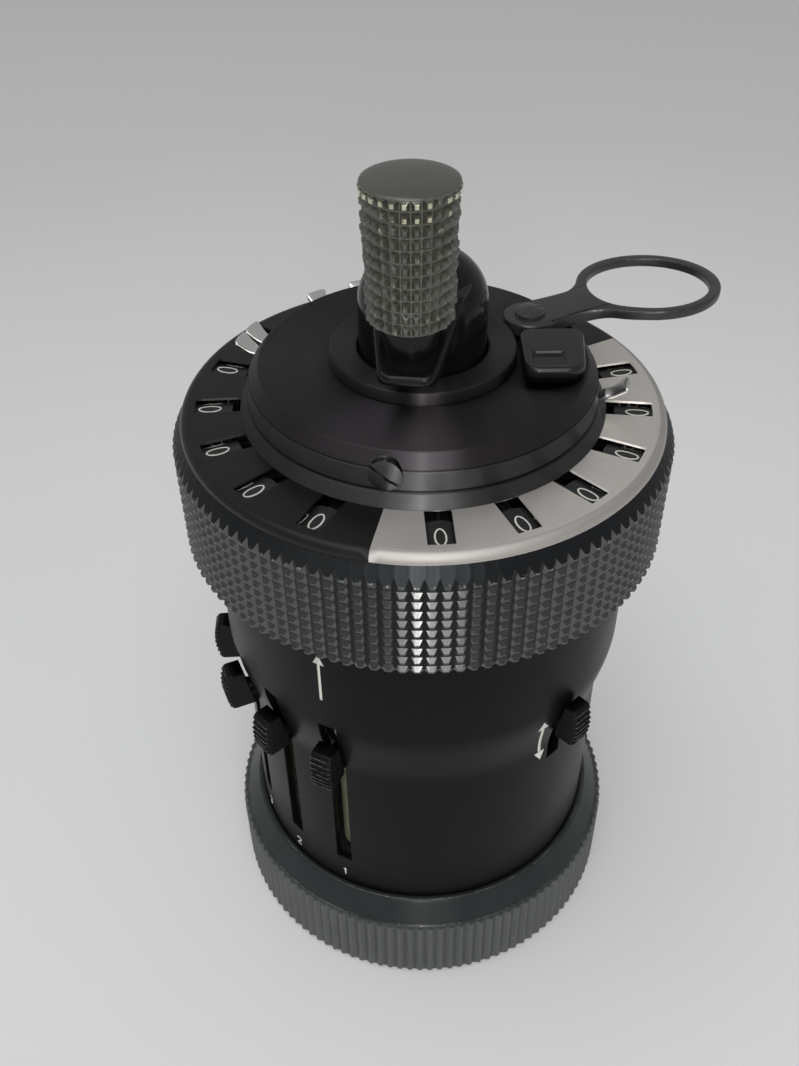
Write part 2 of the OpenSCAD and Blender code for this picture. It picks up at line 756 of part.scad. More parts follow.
// Slide with a knob outside, a stem in the slot, and a shifting fork inside.
module slide_body(low) {
  stem_w = slot_w - 2 * fit;
  stem_out = knob_face - knob_out / 2;
  plate_out = body_in - gap;
  plate_in = set_r + spindle_r + gap - run;
  side = spindle_r + gap - run;
  arm_w = 0.6;
  fork_r = gear_d / 2 - fit;
  fork_low = low + stem_h / 2 - fork_t;
  thumb_knob(low - knob_drop);
  translate([-stem_w / 2, -stem_out, low]) cube([stem_w, stem_out - plate_in, stem_h]);
  translate([-stem_w / 2, -plate_out, low]) cube([side + arm_w + stem_w / 2, plate_out - plate_in, stem_h]);
  translate([0, 0, fork_low]) linear_extrude(fork_t) difference() {
    union() {
      translate([0, -trans_r]) circle(r = fork_r, $fn = 48);
      polygon([
        [side, -plate_in - fit], [side + arm_w, -plate_in - fit], [side + arm_w, -set_r + spindle_r],
        [fork_r - 2 * edge, -trans_r], [arm_w, edge - trans_r - fork_r],
        [side, -set_r + spindle_r - edge]]);
    }
    translate([0, -trans_r]) circle(r = trans_d / 2 + run, $fn = 24);
  }
}

module setting_slider(i) {
  at(slide_degs[i - 1]) {
    color(black) slide_body(stem_z);
    // Follower pin in the helical groove of the setting shaft.
    color(black) at(0, set_r + spindle_r - groove_in + gap, stem_z + stem_h / 2) radial()
      cylinder(r = pin_r, h = groove_in + 2 * edge, $fn = 24);
    color(brass) translate([0, -trans_r, slide_gear_z])
      small_gear(gear_d / 2 - gear_tooth, gear_d / 2, trans_d / 2 + run, gear_h);
  }
}

module reversing_lever() {
  color(black) at(reverse_deg) slide_body(reverse_stem_z);
}

// Setting shaft: journals, a helically grooved spindle and the digit drum above it.
groove_in = 0.75;
groove_w = 1.5;
pin_r = 0.3;
gear_tooth = 0.7;
module setting_shaft(i) {
  pin_z = stem_z + stem_h / 2;
  run_out = 1.2;
  low = pin_z - travel - run_out;
  height = travel + 2 * run_out;
  turn = digit_turn * height / travel;
  drum_low = stem_z + stem_h + gap;
  color(brass) at(slide_degs[i - 1], set_r) {
    translate([0, 0, lower_plate_z]) cylinder(r = journal_r, h = low - lower_plate_z + lap, $fn = 24);
    translate([0, 0, low]) rotate([0, 0, -digit_turn * (pin_z - low) / travel])
      linear_extrude(height, twist = -turn, slices = 20, $fn = 16) difference() {
        circle(r = spindle_r);
        translate([-groove_w / 2, -spindle_r - over]) square([groove_w, over + groove_in]);
      }
    translate([0, 0, low + height - lap])
      cylinder(r = journal_r, h = upper_plate_top - low - height, $fn = 24);
  }
  color(black) at(slide_degs[i - 1], set_r, drum_low)
    tube(digit_drum_d / 2, journal_r - fit, slot_top + lap - drum_low);
}

// Numeral dial with its toothed hub, on a pin that points outwards.
dial_tooth = 0.5;
module numeral_dial(deg) {
  color(black) at(deg, 0, dial_axis_z) radial() difference() {
    union() {
      translate([0, 0, dial_in_r]) cylinder(d = dial_d, h = dial_len, $fn = 64);
      translate([0, 0, hub_end_r]) linear_extrude(dial_in_r - hub_end_r + edge)
        polygon(gear_points(10, dial_hub_d / 2 - dial_tooth, dial_hub_d / 2));
    }
    cylinder(d = dial_pin_d + 2 * run, h = ring_r, $fn = 24);
  }
}

main_housing();
base_cup();
lower_plate();
upper_plate();
transmission_shafts();
carry_bell();
main_shaft();
step_drum();
crank_arm();
crank_grip();
carriage_sleeve();
carriage_spring();
carriage_ring();
result_cover();
counter_cover();
dial_carrier();
marker_ring();
ring_screw();
clearing_deck();
clearing_lever();
lever_screw();
reversing_lever();
for (i = [1:len(marker_degs)])
  decimal_marker(i);
for (i = [1:slide_count]) {
  setting_slider(i);
  setting_shaft(i);
}
for (i = [1:result_places])
  numeral_dial(result_deg(i));
for (i = [1:counter_places])
  numeral_dial(counter_deg(i));
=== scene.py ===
import json
import math

import bpy
import numpy as np
from mathutils import Matrix, Vector


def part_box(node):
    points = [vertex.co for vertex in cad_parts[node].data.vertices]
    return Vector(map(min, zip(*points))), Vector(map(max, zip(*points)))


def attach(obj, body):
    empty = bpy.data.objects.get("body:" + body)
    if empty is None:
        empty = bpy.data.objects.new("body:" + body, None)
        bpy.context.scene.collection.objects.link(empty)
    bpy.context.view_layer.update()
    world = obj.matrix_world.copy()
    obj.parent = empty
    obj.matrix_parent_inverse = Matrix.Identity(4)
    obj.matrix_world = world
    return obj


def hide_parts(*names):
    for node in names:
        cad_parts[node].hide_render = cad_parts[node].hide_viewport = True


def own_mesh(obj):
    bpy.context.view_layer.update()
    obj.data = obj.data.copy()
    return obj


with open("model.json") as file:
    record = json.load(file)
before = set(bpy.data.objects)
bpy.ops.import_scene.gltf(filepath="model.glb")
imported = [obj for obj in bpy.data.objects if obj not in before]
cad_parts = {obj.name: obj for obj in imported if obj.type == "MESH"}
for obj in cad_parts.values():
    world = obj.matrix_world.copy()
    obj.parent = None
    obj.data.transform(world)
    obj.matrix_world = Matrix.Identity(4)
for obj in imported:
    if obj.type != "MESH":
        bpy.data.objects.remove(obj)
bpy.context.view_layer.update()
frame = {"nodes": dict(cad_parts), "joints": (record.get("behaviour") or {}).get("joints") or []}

# sizes are in millimetres, the scene is in metres
mm = 0.001
nodes = frame["nodes"]
joints = {joint["name"]: joint for joint in frame["joints"]}
leverPivot = np.array(joints["lever_fold"]["pos_m"][:2]) / mm
scene = bpy.context.scene
chance = np.random.default_rng(7)


def lowest(node):
    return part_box(node)[0][2] / mm


def highest(node):
    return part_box(node)[1][2] / mm


# outer radius of a node that goes right round the axis
def reach(node):
    low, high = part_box(node)
    return (high[0] - low[0]) / 2 / mm


# angle of a joint's place or axis, from the front and growing to the right
def bearing(vector):
    return math.degrees(math.atan2(vector[0], -vector[1]))


# angle of the middle of a node's box
def nodeBearing(node):
    low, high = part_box(node)
    return bearing([(low[0] + high[0]) / 2, (low[1] + high[1]) / 2])


# how many nodes have names that start so
def howMany(start):
    return sum(name.startswith(start) for name in nodes)


# points at an angle from the front, a distance from the axis and a height
def around(deg, r, z):
    a = np.radians(deg)
    return np.stack(np.broadcast_arrays(r * np.sin(a), -r * np.cos(a), z), -1)


# smooth step from 0 to 1 between two values
def ease(x, start, stop):
    t = np.clip((x - start) / (stop - start), 0, 1)
    return t * t * (3 - 2 * t)


# quads of a grid of points that is numbered row by row
def gridQuads(rows, columns, closedRows=False, closedColumns=True):
    row, column = np.meshgrid(np.arange(rows if closedRows else rows - 1),
                              np.arange(columns if closedColumns else columns - 1), indexing="ij")
    nextRow, nextColumn = (row + 1) % rows, (column + 1) % columns
    corners = [(row, column), (row, nextColumn), (nextRow, nextColumn), (nextRow, column)]
    return np.stack([r * columns + c for r, c in corners], -1).reshape(-1, 4)


# the two discs that close the first and the last row of such a grid
def caps(rows, columns):
    ring = np.arange(columns)
    return [ring[::-1].tolist(), (ring + (rows - 1) * columns).tolist()]


# a mesh in the making: points, faces, how worn each point is, and which faces stay flat
class Shape:
    def __init__(self, points, faces, wear=None, flat=None):
        self.points = np.reshape(points, (-1, 3))
        self.faces = [list(face) for face in faces]
        self.wear = np.zeros(len(self.points)) if wear is None else np.ravel(wear)
        self.flat = np.zeros(len(self.faces), bool) if flat is None else np.ravel(flat)

    def __add__(self, other):
        moved = [[index + len(self.points) for index in face] for face in other.faces]
        return Shape(np.vstack([self.points, other.points]), self.faces + moved,
                     np.concatenate([self.wear, other.wear]), np.concatenate([self.flat, other.flat]))


# makes the named object at the origin, rides it on a body and hides the parts that it replaces
def addPiece(name, shape, body, paint, replaces=(), bevel=0.0):
    mesh = bpy.data.meshes.new(name)
    mesh.from_pydata((shape.points * mm).tolist(), [], shape.faces)
    mesh.polygons.foreach_set("use_smooth", ~shape.flat)
    mesh.attributes.new("wear", "FLOAT", "POINT").data.foreach_set("value", shape.wear.astype(np.float32))
    mesh.materials.append(paint)
    mesh.update()
    obj = bpy.data.objects.new(name, mesh)
    scene.collection.objects.link(obj)
    if bevel:
        edge = obj.modifiers.new("edge", "BEVEL")
        edge.width = bevel * mm
        edge.segments = 2
        edge.limit_method = "ANGLE"
        edge.angle_limit = math.radians(40)
        edge.harden_normals = True
    else:
        obj.modifiers.new("normals", "WEIGHTED_NORMAL").keep_sharp = True
    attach(obj, body)
    if replaces:
        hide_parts(*replaces)
    return obj


# a closed outline with each corner drawn as a short curve; the curves count as worn
def rounded(corners, radius, steps=3):
    p = np.asarray(corners, float)
    back, ahead = np.roll(p, 1, 0) - p, np.roll(p, -1, 0) - p
    lengths = [np.linalg.norm(side, axis=1, keepdims=True) for side in (back, ahead)]
    cut = np.minimum(np.broadcast_to(radius, len(p))[:, None], 0.45 * np.minimum(*lengths))
    t = np.linspace(0, 1, steps + 1)[None, :, None]
    first, last = (p + back / lengths[0] * cut)[:, None], (p + ahead / lengths[1] * cut)[:, None]
    curve = (1 - t) ** 2 * first + 2 * t * (1 - t) * p[:, None] + t * t * last
    worn = np.broadcast_to(1 - np.abs(2 * t[0, :, 0] - 1), (len(p), steps + 1))
    return curve.reshape(-1, 2), worn.ravel()


# a profile of radius and height turned round the axis; an open one is closed by a disc at each end
def turned(profile, wear=None, columns=192, closed=True):
    profile = np.asarray(profile, float)
    deg = np.arange(columns) * 360 / columns
    points = around(deg[None, :], profile[:, :1], profile[:, 1:])
    faces = gridQuads(len(profile), columns, closed).tolist()
    if not closed:
        faces += caps(len(profile), columns)
    worn = np.zeros(len(profile)) if wear is None else wear
    return Shape(points, faces, np.repeat(worn, columns))


# a closed cross-section for each row along a path, with flat ends
def swept(sections):
    rows, columns = sections.shape[:2]
    return Shape(sections, gridQuads(rows, columns).tolist() + caps(rows, columns))


# a closed flat outline drawn in by a distance
def drawnIn(outline, distance):
    step = np.roll(outline, -1, 0) - np.roll(outline, 1, 0)
    step = step / np.linalg.norm(step, axis=1, keepdims=True)
    return outline - np.stack([step[:, 1], -step[:, 0]], -1) * distance


# a flat outline raised between two heights
def plate(outline, low, high):
    outline = np.asarray(outline, float)
    return swept(np.stack([np.insert(outline, 2, z, axis=1) for z in (low, high)]))


# two skins over one grid, joined by walls at the rims and round every open cell
def pierced(outer, inner, openCells, wear, closedColumns=True):
    rows, columns = outer.shape[:2]
    count = rows * columns
    quads = gridQuads(rows, columns, False, closedColumns)
    solid = ~openCells
    keep = solid.ravel()
    walls = []
    index = np.arange(count).reshape(rows, columns)
    right = np.roll(index, -1, 1)
    if not closedColumns:
        index, right = index[:, :-1], right[:, :-1]

    # a wall stands between a solid cell and an open neighbour, from edge a to b
    def wall(mask, a, b):
        walls.append(np.stack([a[mask], b[mask], b[mask] + count, a[mask] + count], -1))

    padded = np.pad(openCells, ((1, 1), (0, 0)), constant_values=True)
    wall(solid & padded[2:], index[1:], right[1:])
    wall(solid & padded[:-2], right[:-1], index[:-1])
    sides = np.pad(openCells, ((0, 0), (1, 1)), mode="wrap" if closedColumns else "constant",
                   **({} if closedColumns else {"constant_values": True}))
    wall(solid & sides[:, :-2], index[:-1], index[1:])
    wall(solid & sides[:, 2:], right[1:], right[:-1])
    faces = np.concatenate([quads[keep], quads[keep][:, ::-1] + count] + walls)
    used, faces = np.unique(faces, return_inverse=True)
    points = np.concatenate([outer.reshape(-1, 3), inner.reshape(-1, 3)])[used]
    return Shape(points, faces.reshape(-1, 4).tolist(), np.concatenate([wear.ravel(), wear.ravel()])[used])


# cuts quads into triangles along the diagonal that reaches their one raised or sunk corner
def facets(quads, height):
    h = height[quads]
    along = h[:, 0] + h[:, 2] > h[:, 1] + h[:, 3]
    first = np.where(along[:, None], quads[:, [0, 1, 2]], quads[:, [1, 2, 3]])
    second = np.where(along[:, None], quads[:, [0, 2, 3]], quads[:, [1, 3, 0]])
    return np.concatenate([first, second])


print("helpers ready")


# one socket of a node tree; sums on it add Math nodes
class Link:
    def __init__(self, paint, socket):
        self.paint, self.socket = paint, socket

    def sum(self, operation, a, b=0.0):
        return self.paint.node("Math", {"operation": operation}, {0: a, 1: b})

    def __add__(self, other):
        return self.sum("ADD", self, other)

    def __sub__(self, other):
        return self.sum("SUBTRACT", self, other)

    def __rsub__(self, other):
        return self.sum("SUBTRACT", other, self)

    def __mul__(self, other):
        return self.sum("MULTIPLY", self, other)

    def __truediv__(self, other):
        return self.sum("DIVIDE", self, other)

    def __pow__(self, other):
        return self.sum("POWER", self, other)

    __radd__, __rmul__ = __add__, __mul__

    # 0 below start, 1 above stop
    def ramp(self, start, stop):
        return self.paint.node("MapRange", {"clamp": True}, {0: self, 1: start, 2: stop})


# a material and its principled shader
class Paint:
    def __init__(self, name, **fixed):
        self.material = bpy.data.materials.new(name)
        self.material.use_nodes = True
        self.tree = self.material.node_tree
        self.shader = self.tree.nodes["Principled BSDF"]
        self.give(**fixed)
        self.place = self.node("TexCoord", out="Object")
        x, y, self.height = (self.node("SeparateXYZ", {}, {0: self.place}, out) for out in range(3))
        self.radius = (x * x + y * y) ** 0.5

    def node(self, kind, settings=None, sockets=None, out=0):
        made = self.tree.nodes.new("ShaderNode" + kind)
        for key, value in (settings or {}).items():
            setattr(made, key, value)
        for key, value in (sockets or {}).items():
            if isinstance(value, Link):
                self.tree.links.new(value.socket, made.inputs[key])
            else:
                made.inputs[key].default_value = value
        return Link(self, made.outputs[out])

    # sets or links the shader's own sockets
    def give(self, **sockets):
        for key, value in sockets.items():
            target = self.shader.inputs[key.replace("_", " ")]
            if isinstance(value, Link):
                self.tree.links.new(value.socket, target)
            else:
                target.default_value = value

    def mix(self, share, a, b):
        return self.node("Mix", {"data_type": "RGBA"}, {0: share, 6: a, 7: b}, 2)

    # noise with features of about a size in millimetres
    def noise(self, size, detail=3.0, rough=0.55):
        return self.node("TexNoise", {}, {"Vector": self.place, "Scale": 1 / (size * mm), "Detail": detail,
                                          "Roughness": rough})

    # fine rings round the axis, as a lathe leaves them, that vary along the radius and the height
    def rings(self, size):
        along = self.radius + self.height * 1.7
        return self.node("TexNoise", {"noise_dimensions": "1D"}, {"W": along, "Scale": 1 / (size * mm),
                                                                  "Detail": 2.0})

    def bump(self, height, depth, strength=1.0):
        self.give(Normal=self.node("Bump", {}, {"Height": height, "Distance": depth * mm, "Strength": strength}))

    def wear(self):
        return self.node("Attribute", {"attribute_name": "wear"}, out="Fac")


def grey(value, warm=0.0):
    return (value * (1 + warm), value, value * (1 - warm), 1.0)


# satin black enamel with dust, handling marks and bare metal along worn edges
def blackEnamel(name, tone, rough, worn, gloss=0.5):
    paint = Paint(name, IOR=1.5, Specular_IOR_Level=gloss)
    cloud, fine = paint.noise(6.0), paint.noise(0.35, 4.0)
    bare = (paint.wear() * (fine * 0.7 + paint.noise(1.6) * 0.7)).ramp(1.02 - worn, 1.2 - worn)
    dust = (fine * cloud).ramp(0.33, 0.5) * 0.28
    base = paint.mix(cloud, grey(tone * 0.75), grey(tone * 1.3))
    base = paint.mix(dust, base, grey(tone * 3.2, 0.03))
    paint.give(Base_Color=paint.mix(bare, base, grey(0.32, 0.03)), Metallic=bare,
               Roughness=rough - 0.06 + cloud * 0.12 + fine * 0.08 + dust * 0.3)
    paint.bump(fine * 0.6 + paint.noise(0.09, 2.0) * 0.4, 0.006, 0.5)
    return paint.material


# enamel of the base: dark and smooth on the shoulder, paler grey in the flutes below a height
def baseBlack(name, fluteHigh):
    paint = Paint(name, Specular_IOR_Level=0.2)
    cloud, fine = paint.noise(4.0), paint.noise(0.3, 4.0)
    smooth = paint.height.ramp((fluteHigh - 0.2) * mm, (fluteHigh + 0.1) * mm)
    bare = (paint.wear() * (fine * 0.8 + cloud * 0.6)).ramp(0.62, 0.8)
    dark = paint.mix(cloud, (0.018, 0.021, 0.022, 1), (0.032, 0.036, 0.037, 1))
    pale = paint.mix(cloud * 0.5 + fine * 0.5, (0.063, 0.067, 0.066, 1), (0.119, 0.126, 0.123, 1))
    paint.give(Base_Color=paint.mix(bare, paint.mix(smooth, pale, dark), grey(0.3, 0.02)), Metallic=bare * 0.8,
               Roughness=0.4 + fine * 0.1 - smooth * 0.24)
    paint.bump(fine, 0.006, 0.5)
    return paint.material


# black anodised metal, a little purple: lathe rings spread the highlights across them, and edges are scratched bright
def turnedBlack(name, tint, rough, worn):
    paint = Paint(name, Metallic=1.0, Anisotropic=1.0, Anisotropic_Rotation=0.25)
    rings, cloud, fine = paint.rings(0.07), paint.noise(5.0), paint.noise(0.25, 4.0)
    bare = (paint.wear() * (fine * 0.8 + paint.noise(0.9) * 0.6)).ramp(1.0 - worn, 1.15 - worn)
    dark, light = ([c * k for c in tint] + [1.0] for k in (0.6, 1.4))
    base = paint.mix(rings * 0.6 + cloud * 0.4, dark, light)
    paint.give(Base_Color=paint.mix(bare, base, grey(0.5, 0.02)), Roughness=rough + rings * 0.1 - bare * 0.1)
    paint.bump(rings * 0.7 + fine * 0.3, 0.005, 0.5)
    return paint.material


# anodised knurl: chips on the points show the metal, dust lies in the cuts; on the grip's top rows the bare points also
# stand in for painted glints
def knurlBlack(name, tone, metal, worn, rough, gloss):
    paint = Paint(name, IOR=1.7, Specular_IOR_Level=gloss)
    fine, cloud = paint.noise(0.3, 4.0), paint.noise(3.0)
    bare = (paint.wear() * (0.35 + fine * 0.8 + cloud * 0.35)).ramp(1.25 - worn, 1.45 - worn)
    dust = (fine * (1 - paint.wear())).ramp(0.45, 0.62) * 0.2
    lighter, dusty = ([c * k for c in tone[:3]] + [1.0] for k in (1.5, 5))
    base = paint.mix(dust, paint.mix(cloud, tone, lighter), dusty)
    paint.give(Base_Color=paint.mix(bare, base, metal), Metallic=0.1 + bare * 0.9,
               Roughness=rough + fine * 0.1 + dust * 0.4)
    paint.bump(fine, 0.008, 0.3)
    return paint.material


# matt silver with a fine blasted grain, faint rings, old handling marks and a worn lip painted darker, partly painted
# shade that dims the lip's highlight
def mattSilver(name):
    paint = Paint(name, Metallic=1.0)
    grain, cloud, rings = paint.noise(0.12, 3.0), paint.noise(4.0, 5.0), paint.rings(0.12)
    stain = paint.noise(1.2, 4.0).ramp(0.62, 0.78) * 0.25
    base = paint.mix(cloud * 0.6 + grain * 0.4, grey(0.72, 0.06), grey(0.86, 0.05))
    # painted shade: the worn lip is darkened, which also dims its highlight
    base = paint.mix(paint.wear() * 0.8, base, grey(0.45, 0.05))
    paint.give(Base_Color=paint.mix(stain, base, grey(0.3, 0.06)),
               Roughness=0.42 + grain * 0.14 + cloud * 0.06 + stain * 0.3 + paint.wear() * 0.04)
    paint.bump(grain * 0.7 + rings * 0.3, 0.008, 0.5)
    return paint.material


# bare machined metal, with tarnish in patches
def machined(name, bright, dull, rough):
    paint = Paint(name, Metallic=1.0)
    fine, cloud = paint.noise(0.2, 4.0), paint.noise(2.0)
    paint.give(Base_Color=paint.mix(cloud * 0.7 + fine * 0.3, dull, bright), Roughness=rough + fine * 0.18)
    paint.bump(fine, 0.004, 0.5)
    return paint.material


# brass spindle below, blackened digit drum above a height
def settingBrass(name, drumLow):
    paint = Paint(name)
    fine, cloud = paint.noise(0.25, 4.0), paint.noise(1.5)
    drum = paint.height.ramp((drumLow - 0.02) * mm, (drumLow + 0.02) * mm)
    brass = paint.mix(cloud * 0.6 + fine * 0.4, (0.2, 0.195, 0.12, 1), (0.44, 0.42, 0.29, 1))
    paint.give(Base_Color=paint.mix(drum, brass, grey(0.014)), Metallic=0.4 - drum * 0.4,
               Roughness=0.36 + fine * 0.2 + drum * 0.12)
    paint.bump(fine, 0.004, 0.5)
    return paint.material


# matt grey-black dial, a little greenish
def dialBlack(name):
    paint = Paint(name)
    fine, cloud = paint.noise(0.2, 4.0), paint.noise(1.5)
    paint.give(Base_Color=paint.mix(cloud * 0.6 + fine * 0.4, (0.008, 0.009, 0.009, 1), (0.02, 0.022, 0.021, 1)),
               Roughness=0.42 + fine * 0.2)
    paint.bump(fine, 0.004, 0.4)
    return paint.material


# aged white filling of the numerals and arrows
def whiteFill(name):
    paint = Paint(name)
    fine, cloud = paint.noise(0.12, 4.0), paint.noise(0.8)
    lost = (fine * 0.6 + cloud * 0.4).ramp(0.6, 0.75) * 0.5
    base = paint.mix(cloud, (0.62, 0.61, 0.55, 1), (0.82, 0.81, 0.76, 1))
    paint.give(Base_Color=paint.mix(lost, base, (0.3, 0.3, 0.27, 1)), Roughness=0.5 + fine * 0.2)
    paint.bump(fine, 0.003, 0.4)
    return paint.material


paints = {
    "housing": blackEnamel("housing_enamel", 0.004, 0.3, 0.4, 0.09),
    "cover": blackEnamel("cover_enamel", 0.007, 0.28, 0.1, 0.3),
    "lever": blackEnamel("lever_enamel", 0.026, 0.3, 0.36),
    "crank": blackEnamel("crank_enamel", 0.005, 0.15, 0.3, 0.22),
    "knob": blackEnamel("knob_enamel", 0.005, 0.24, 0.52, 0.14),
    "seat": blackEnamel("seat_enamel", 0.012, 0.16, 0.3, 0.4),
    "deck": turnedBlack("deck_anodised", (0.06, 0.054, 0.059), 0.34, 0.28),
    "bands": turnedBlack("band_anodised", (0.088, 0.089, 0.091), 0.36, 0.22),
    "cone": turnedBlack("cone_anodised", (0.038, 0.041, 0.044), 0.34, 0.3),
    "knurl": knurlBlack("carriage_knurl", (0.006, 0.007, 0.008, 1), (0.62, 0.66, 0.66, 1), 0.16, 0.08, 0.85),
    "grip": knurlBlack("grip_knurl", (0.054, 0.055, 0.043, 1), (0.62, 0.6, 0.46, 1), 0.3, 0.2, 0.5),
    "silver": mattSilver("cover_silver"),
    "steel": machined("frame_steel", (0.5, 0.51, 0.52, 1), (0.34, 0.345, 0.35, 1), 0.3),
    "bright": machined("marker_bright", (0.86, 0.86, 0.84, 1), (0.66, 0.66, 0.63, 1), 0.14),
    "brass": machined("drum_brass", (0.5, 0.4, 0.18, 1), (0.3, 0.24, 0.11, 1), 0.34),
    "dial": dialBlack("dial_black"),
    "white": whiteFill("numeral_white"),
}
print("finishes ready")


def dress(paint, *names):
    for name in names:
        nodes[name].data.materials.clear()
        nodes[name].data.materials.append(paint)


# housing: straight tube that flares to a collar, pierced by the setting slots and the reversing slot
shell = {"wall": 1.0, "straightR": 22.0, "flareLow": 36.0, "flareHigh": 45.0, "slotW": 2.0, "slotLow": 18.1,
         "slotHigh": 44.8, "reverseDeg": 43.0, "reverseLow": 33.8, "reverseHigh": 41.8, "edge": 0.12, "stepDeg": 2.0,
         "clearDeg": 0.6}
slideDegs = [bearing(joints[f"shaft_{i}_turn"]["pos_m"]) for i in range(1, howMany("setting_slider_") + 1)]


# outer radius of the housing at a height
def housingRadius(z):
    collar = reach("main_housing")
    return shell["straightR"] + (collar - shell["straightR"]) * ease(z, shell["flareLow"], shell["flareHigh"])


def makeHousing():
    half = math.degrees(math.asin(shell["slotW"] / 2 / (shell["straightR"] + 0.3)))
    slots = [(deg % 360, shell["slotLow"], shell["slotHigh"]) for deg in slideDegs]
    slots.append((shell["reverseDeg"], shell["reverseLow"], shell["reverseHigh"]))
    cuts = np.array([deg + side * half for deg, low, high in slots for side in (-1, 1)])
    plain = np.arange(0, 360, shell["stepDeg"])
    clear = np.abs((plain[:, None] - cuts[None, :] + 180) % 360 - 180).min(1) > shell["clearDeg"]
    deg = np.sort(np.concatenate([plain[clear], cuts % 360]))
    z = np.unique(np.concatenate([
        [lowest("main_housing"), highest("main_housing"), shell["slotLow"], shell["slotHigh"], shell["reverseLow"],
         shell["reverseHigh"]], np.linspace(shell["flareLow"], shell["flareHigh"], 19), np.linspace(14, 34, 9)]))
    r = housingRadius(z)[:, None]
    outer, inner = around(deg[None, :], r, z[:, None]), around(deg[None, :], r - shell["wall"], z[:, None])
    midZ = (z[1:] + z[:-1]) / 2
    midDeg = deg + (np.roll(deg, -1) - deg) % 360 / 2
    gaps = np.zeros((len(z) - 1, len(deg)), bool)
    for slotDeg, low, high in slots:
        across = np.abs((midDeg - slotDeg + 180) % 360 - 180) < half
        gaps |= across[None, :] & ((midZ > low) & (midZ < high))[:, None]
    shape = pierced(outer, inner, gaps, np.zeros(outer.shape[:2]))
    addPiece("housing_shell", shape, "frame", paints["housing"], ["main_housing"],
             shell["edge"])


makeHousing()
print("housing made")


# base: chamfered foot, a ring of V flutes and a smooth sloping shoulder
foot = {"flutes": 120, "depth": 0.45, "flat": 0.08, "edge": 0.35, "fluteHigh": 10.3, "floor": 2.0, "rim": 0.5}


def makeBase():
    r, top = reach("base_cup"), highest("base_cup")
    wellR, root = shell["straightR"] + 0.05, r - foot["depth"]
    profile = np.array([
        [0.02, 0], [root - foot["edge"], 0], [root - foot["edge"] + 0.25, 0.04], [r - 0.25, foot["edge"]],
        [r, foot["edge"] + 0.3], [r, foot["fluteHigh"] - 0.3], [r - 0.2, foot["fluteHigh"] - 0.06],
        [root - 0.05, foot["fluteHigh"]], [root - 0.2, foot["fluteHigh"] + 0.1],
        [root - 0.34, foot["fluteHigh"] + 0.26], [wellR + foot["rim"] + 0.28, top - 0.26],
        [wellR + foot["rim"] + 0.15, top - 0.12], [wellR + foot["rim"], top - 0.03], [wellR + foot["rim"] - 0.12, top],
        [wellR + 0.05, top], [wellR, top - 0.08], [wellR, foot["floor"]], [0.02, foot["floor"]]])
    columns = foot["flutes"] * 3
    phase = np.array([0, 0.5 - foot["flat"], 0.5 + foot["flat"]])
    deg = (np.arange(foot["flutes"])[:, None] + phase[None, :]).ravel() * 360 / foot["flutes"]
    groove = np.tile([1.0, 0, 0], foot["flutes"])
    radius = np.where(profile[:, :1] > root, root + (profile[:, :1] - root) * (1 - groove), profile[:, :1])
    points = around(deg[None, :], radius, profile[:, 1:])
    faces = gridQuads(len(profile), columns).tolist() + caps(len(profile), columns)
    row = np.arange(len(faces)) // columns
    fluted = (row >= 3) & (row < 7)
    wear = np.isin(np.arange(len(profile)), [8, 12]) * 1.0
    shape = Shape(points, faces, np.repeat(wear, columns), fluted)
    addPiece("fluted_base", shape, "frame", baseBlack("base_enamel", foot["fluteHigh"]), ["base_cup"])


makeBase()
print("base made")


# carriage ring: upright V cuts and shallower level ones leave rows of blunt points below a cone
knurl = {"columns": 120, "turn": -0.75, "rows": 9, "depth": 0.5, "level": 0.31, "tip": 0.17, "flat": 0.075,
         "lastTip": 0.34, "coneLow": 1.86, "coneIn": 1.1, "wall": 2.0, "skirtR": 23.9, "skirtHigh": 4.5,
         "rub": 0.02, "chip": 0.03, "proud": 0.01, "skin": 0.1}


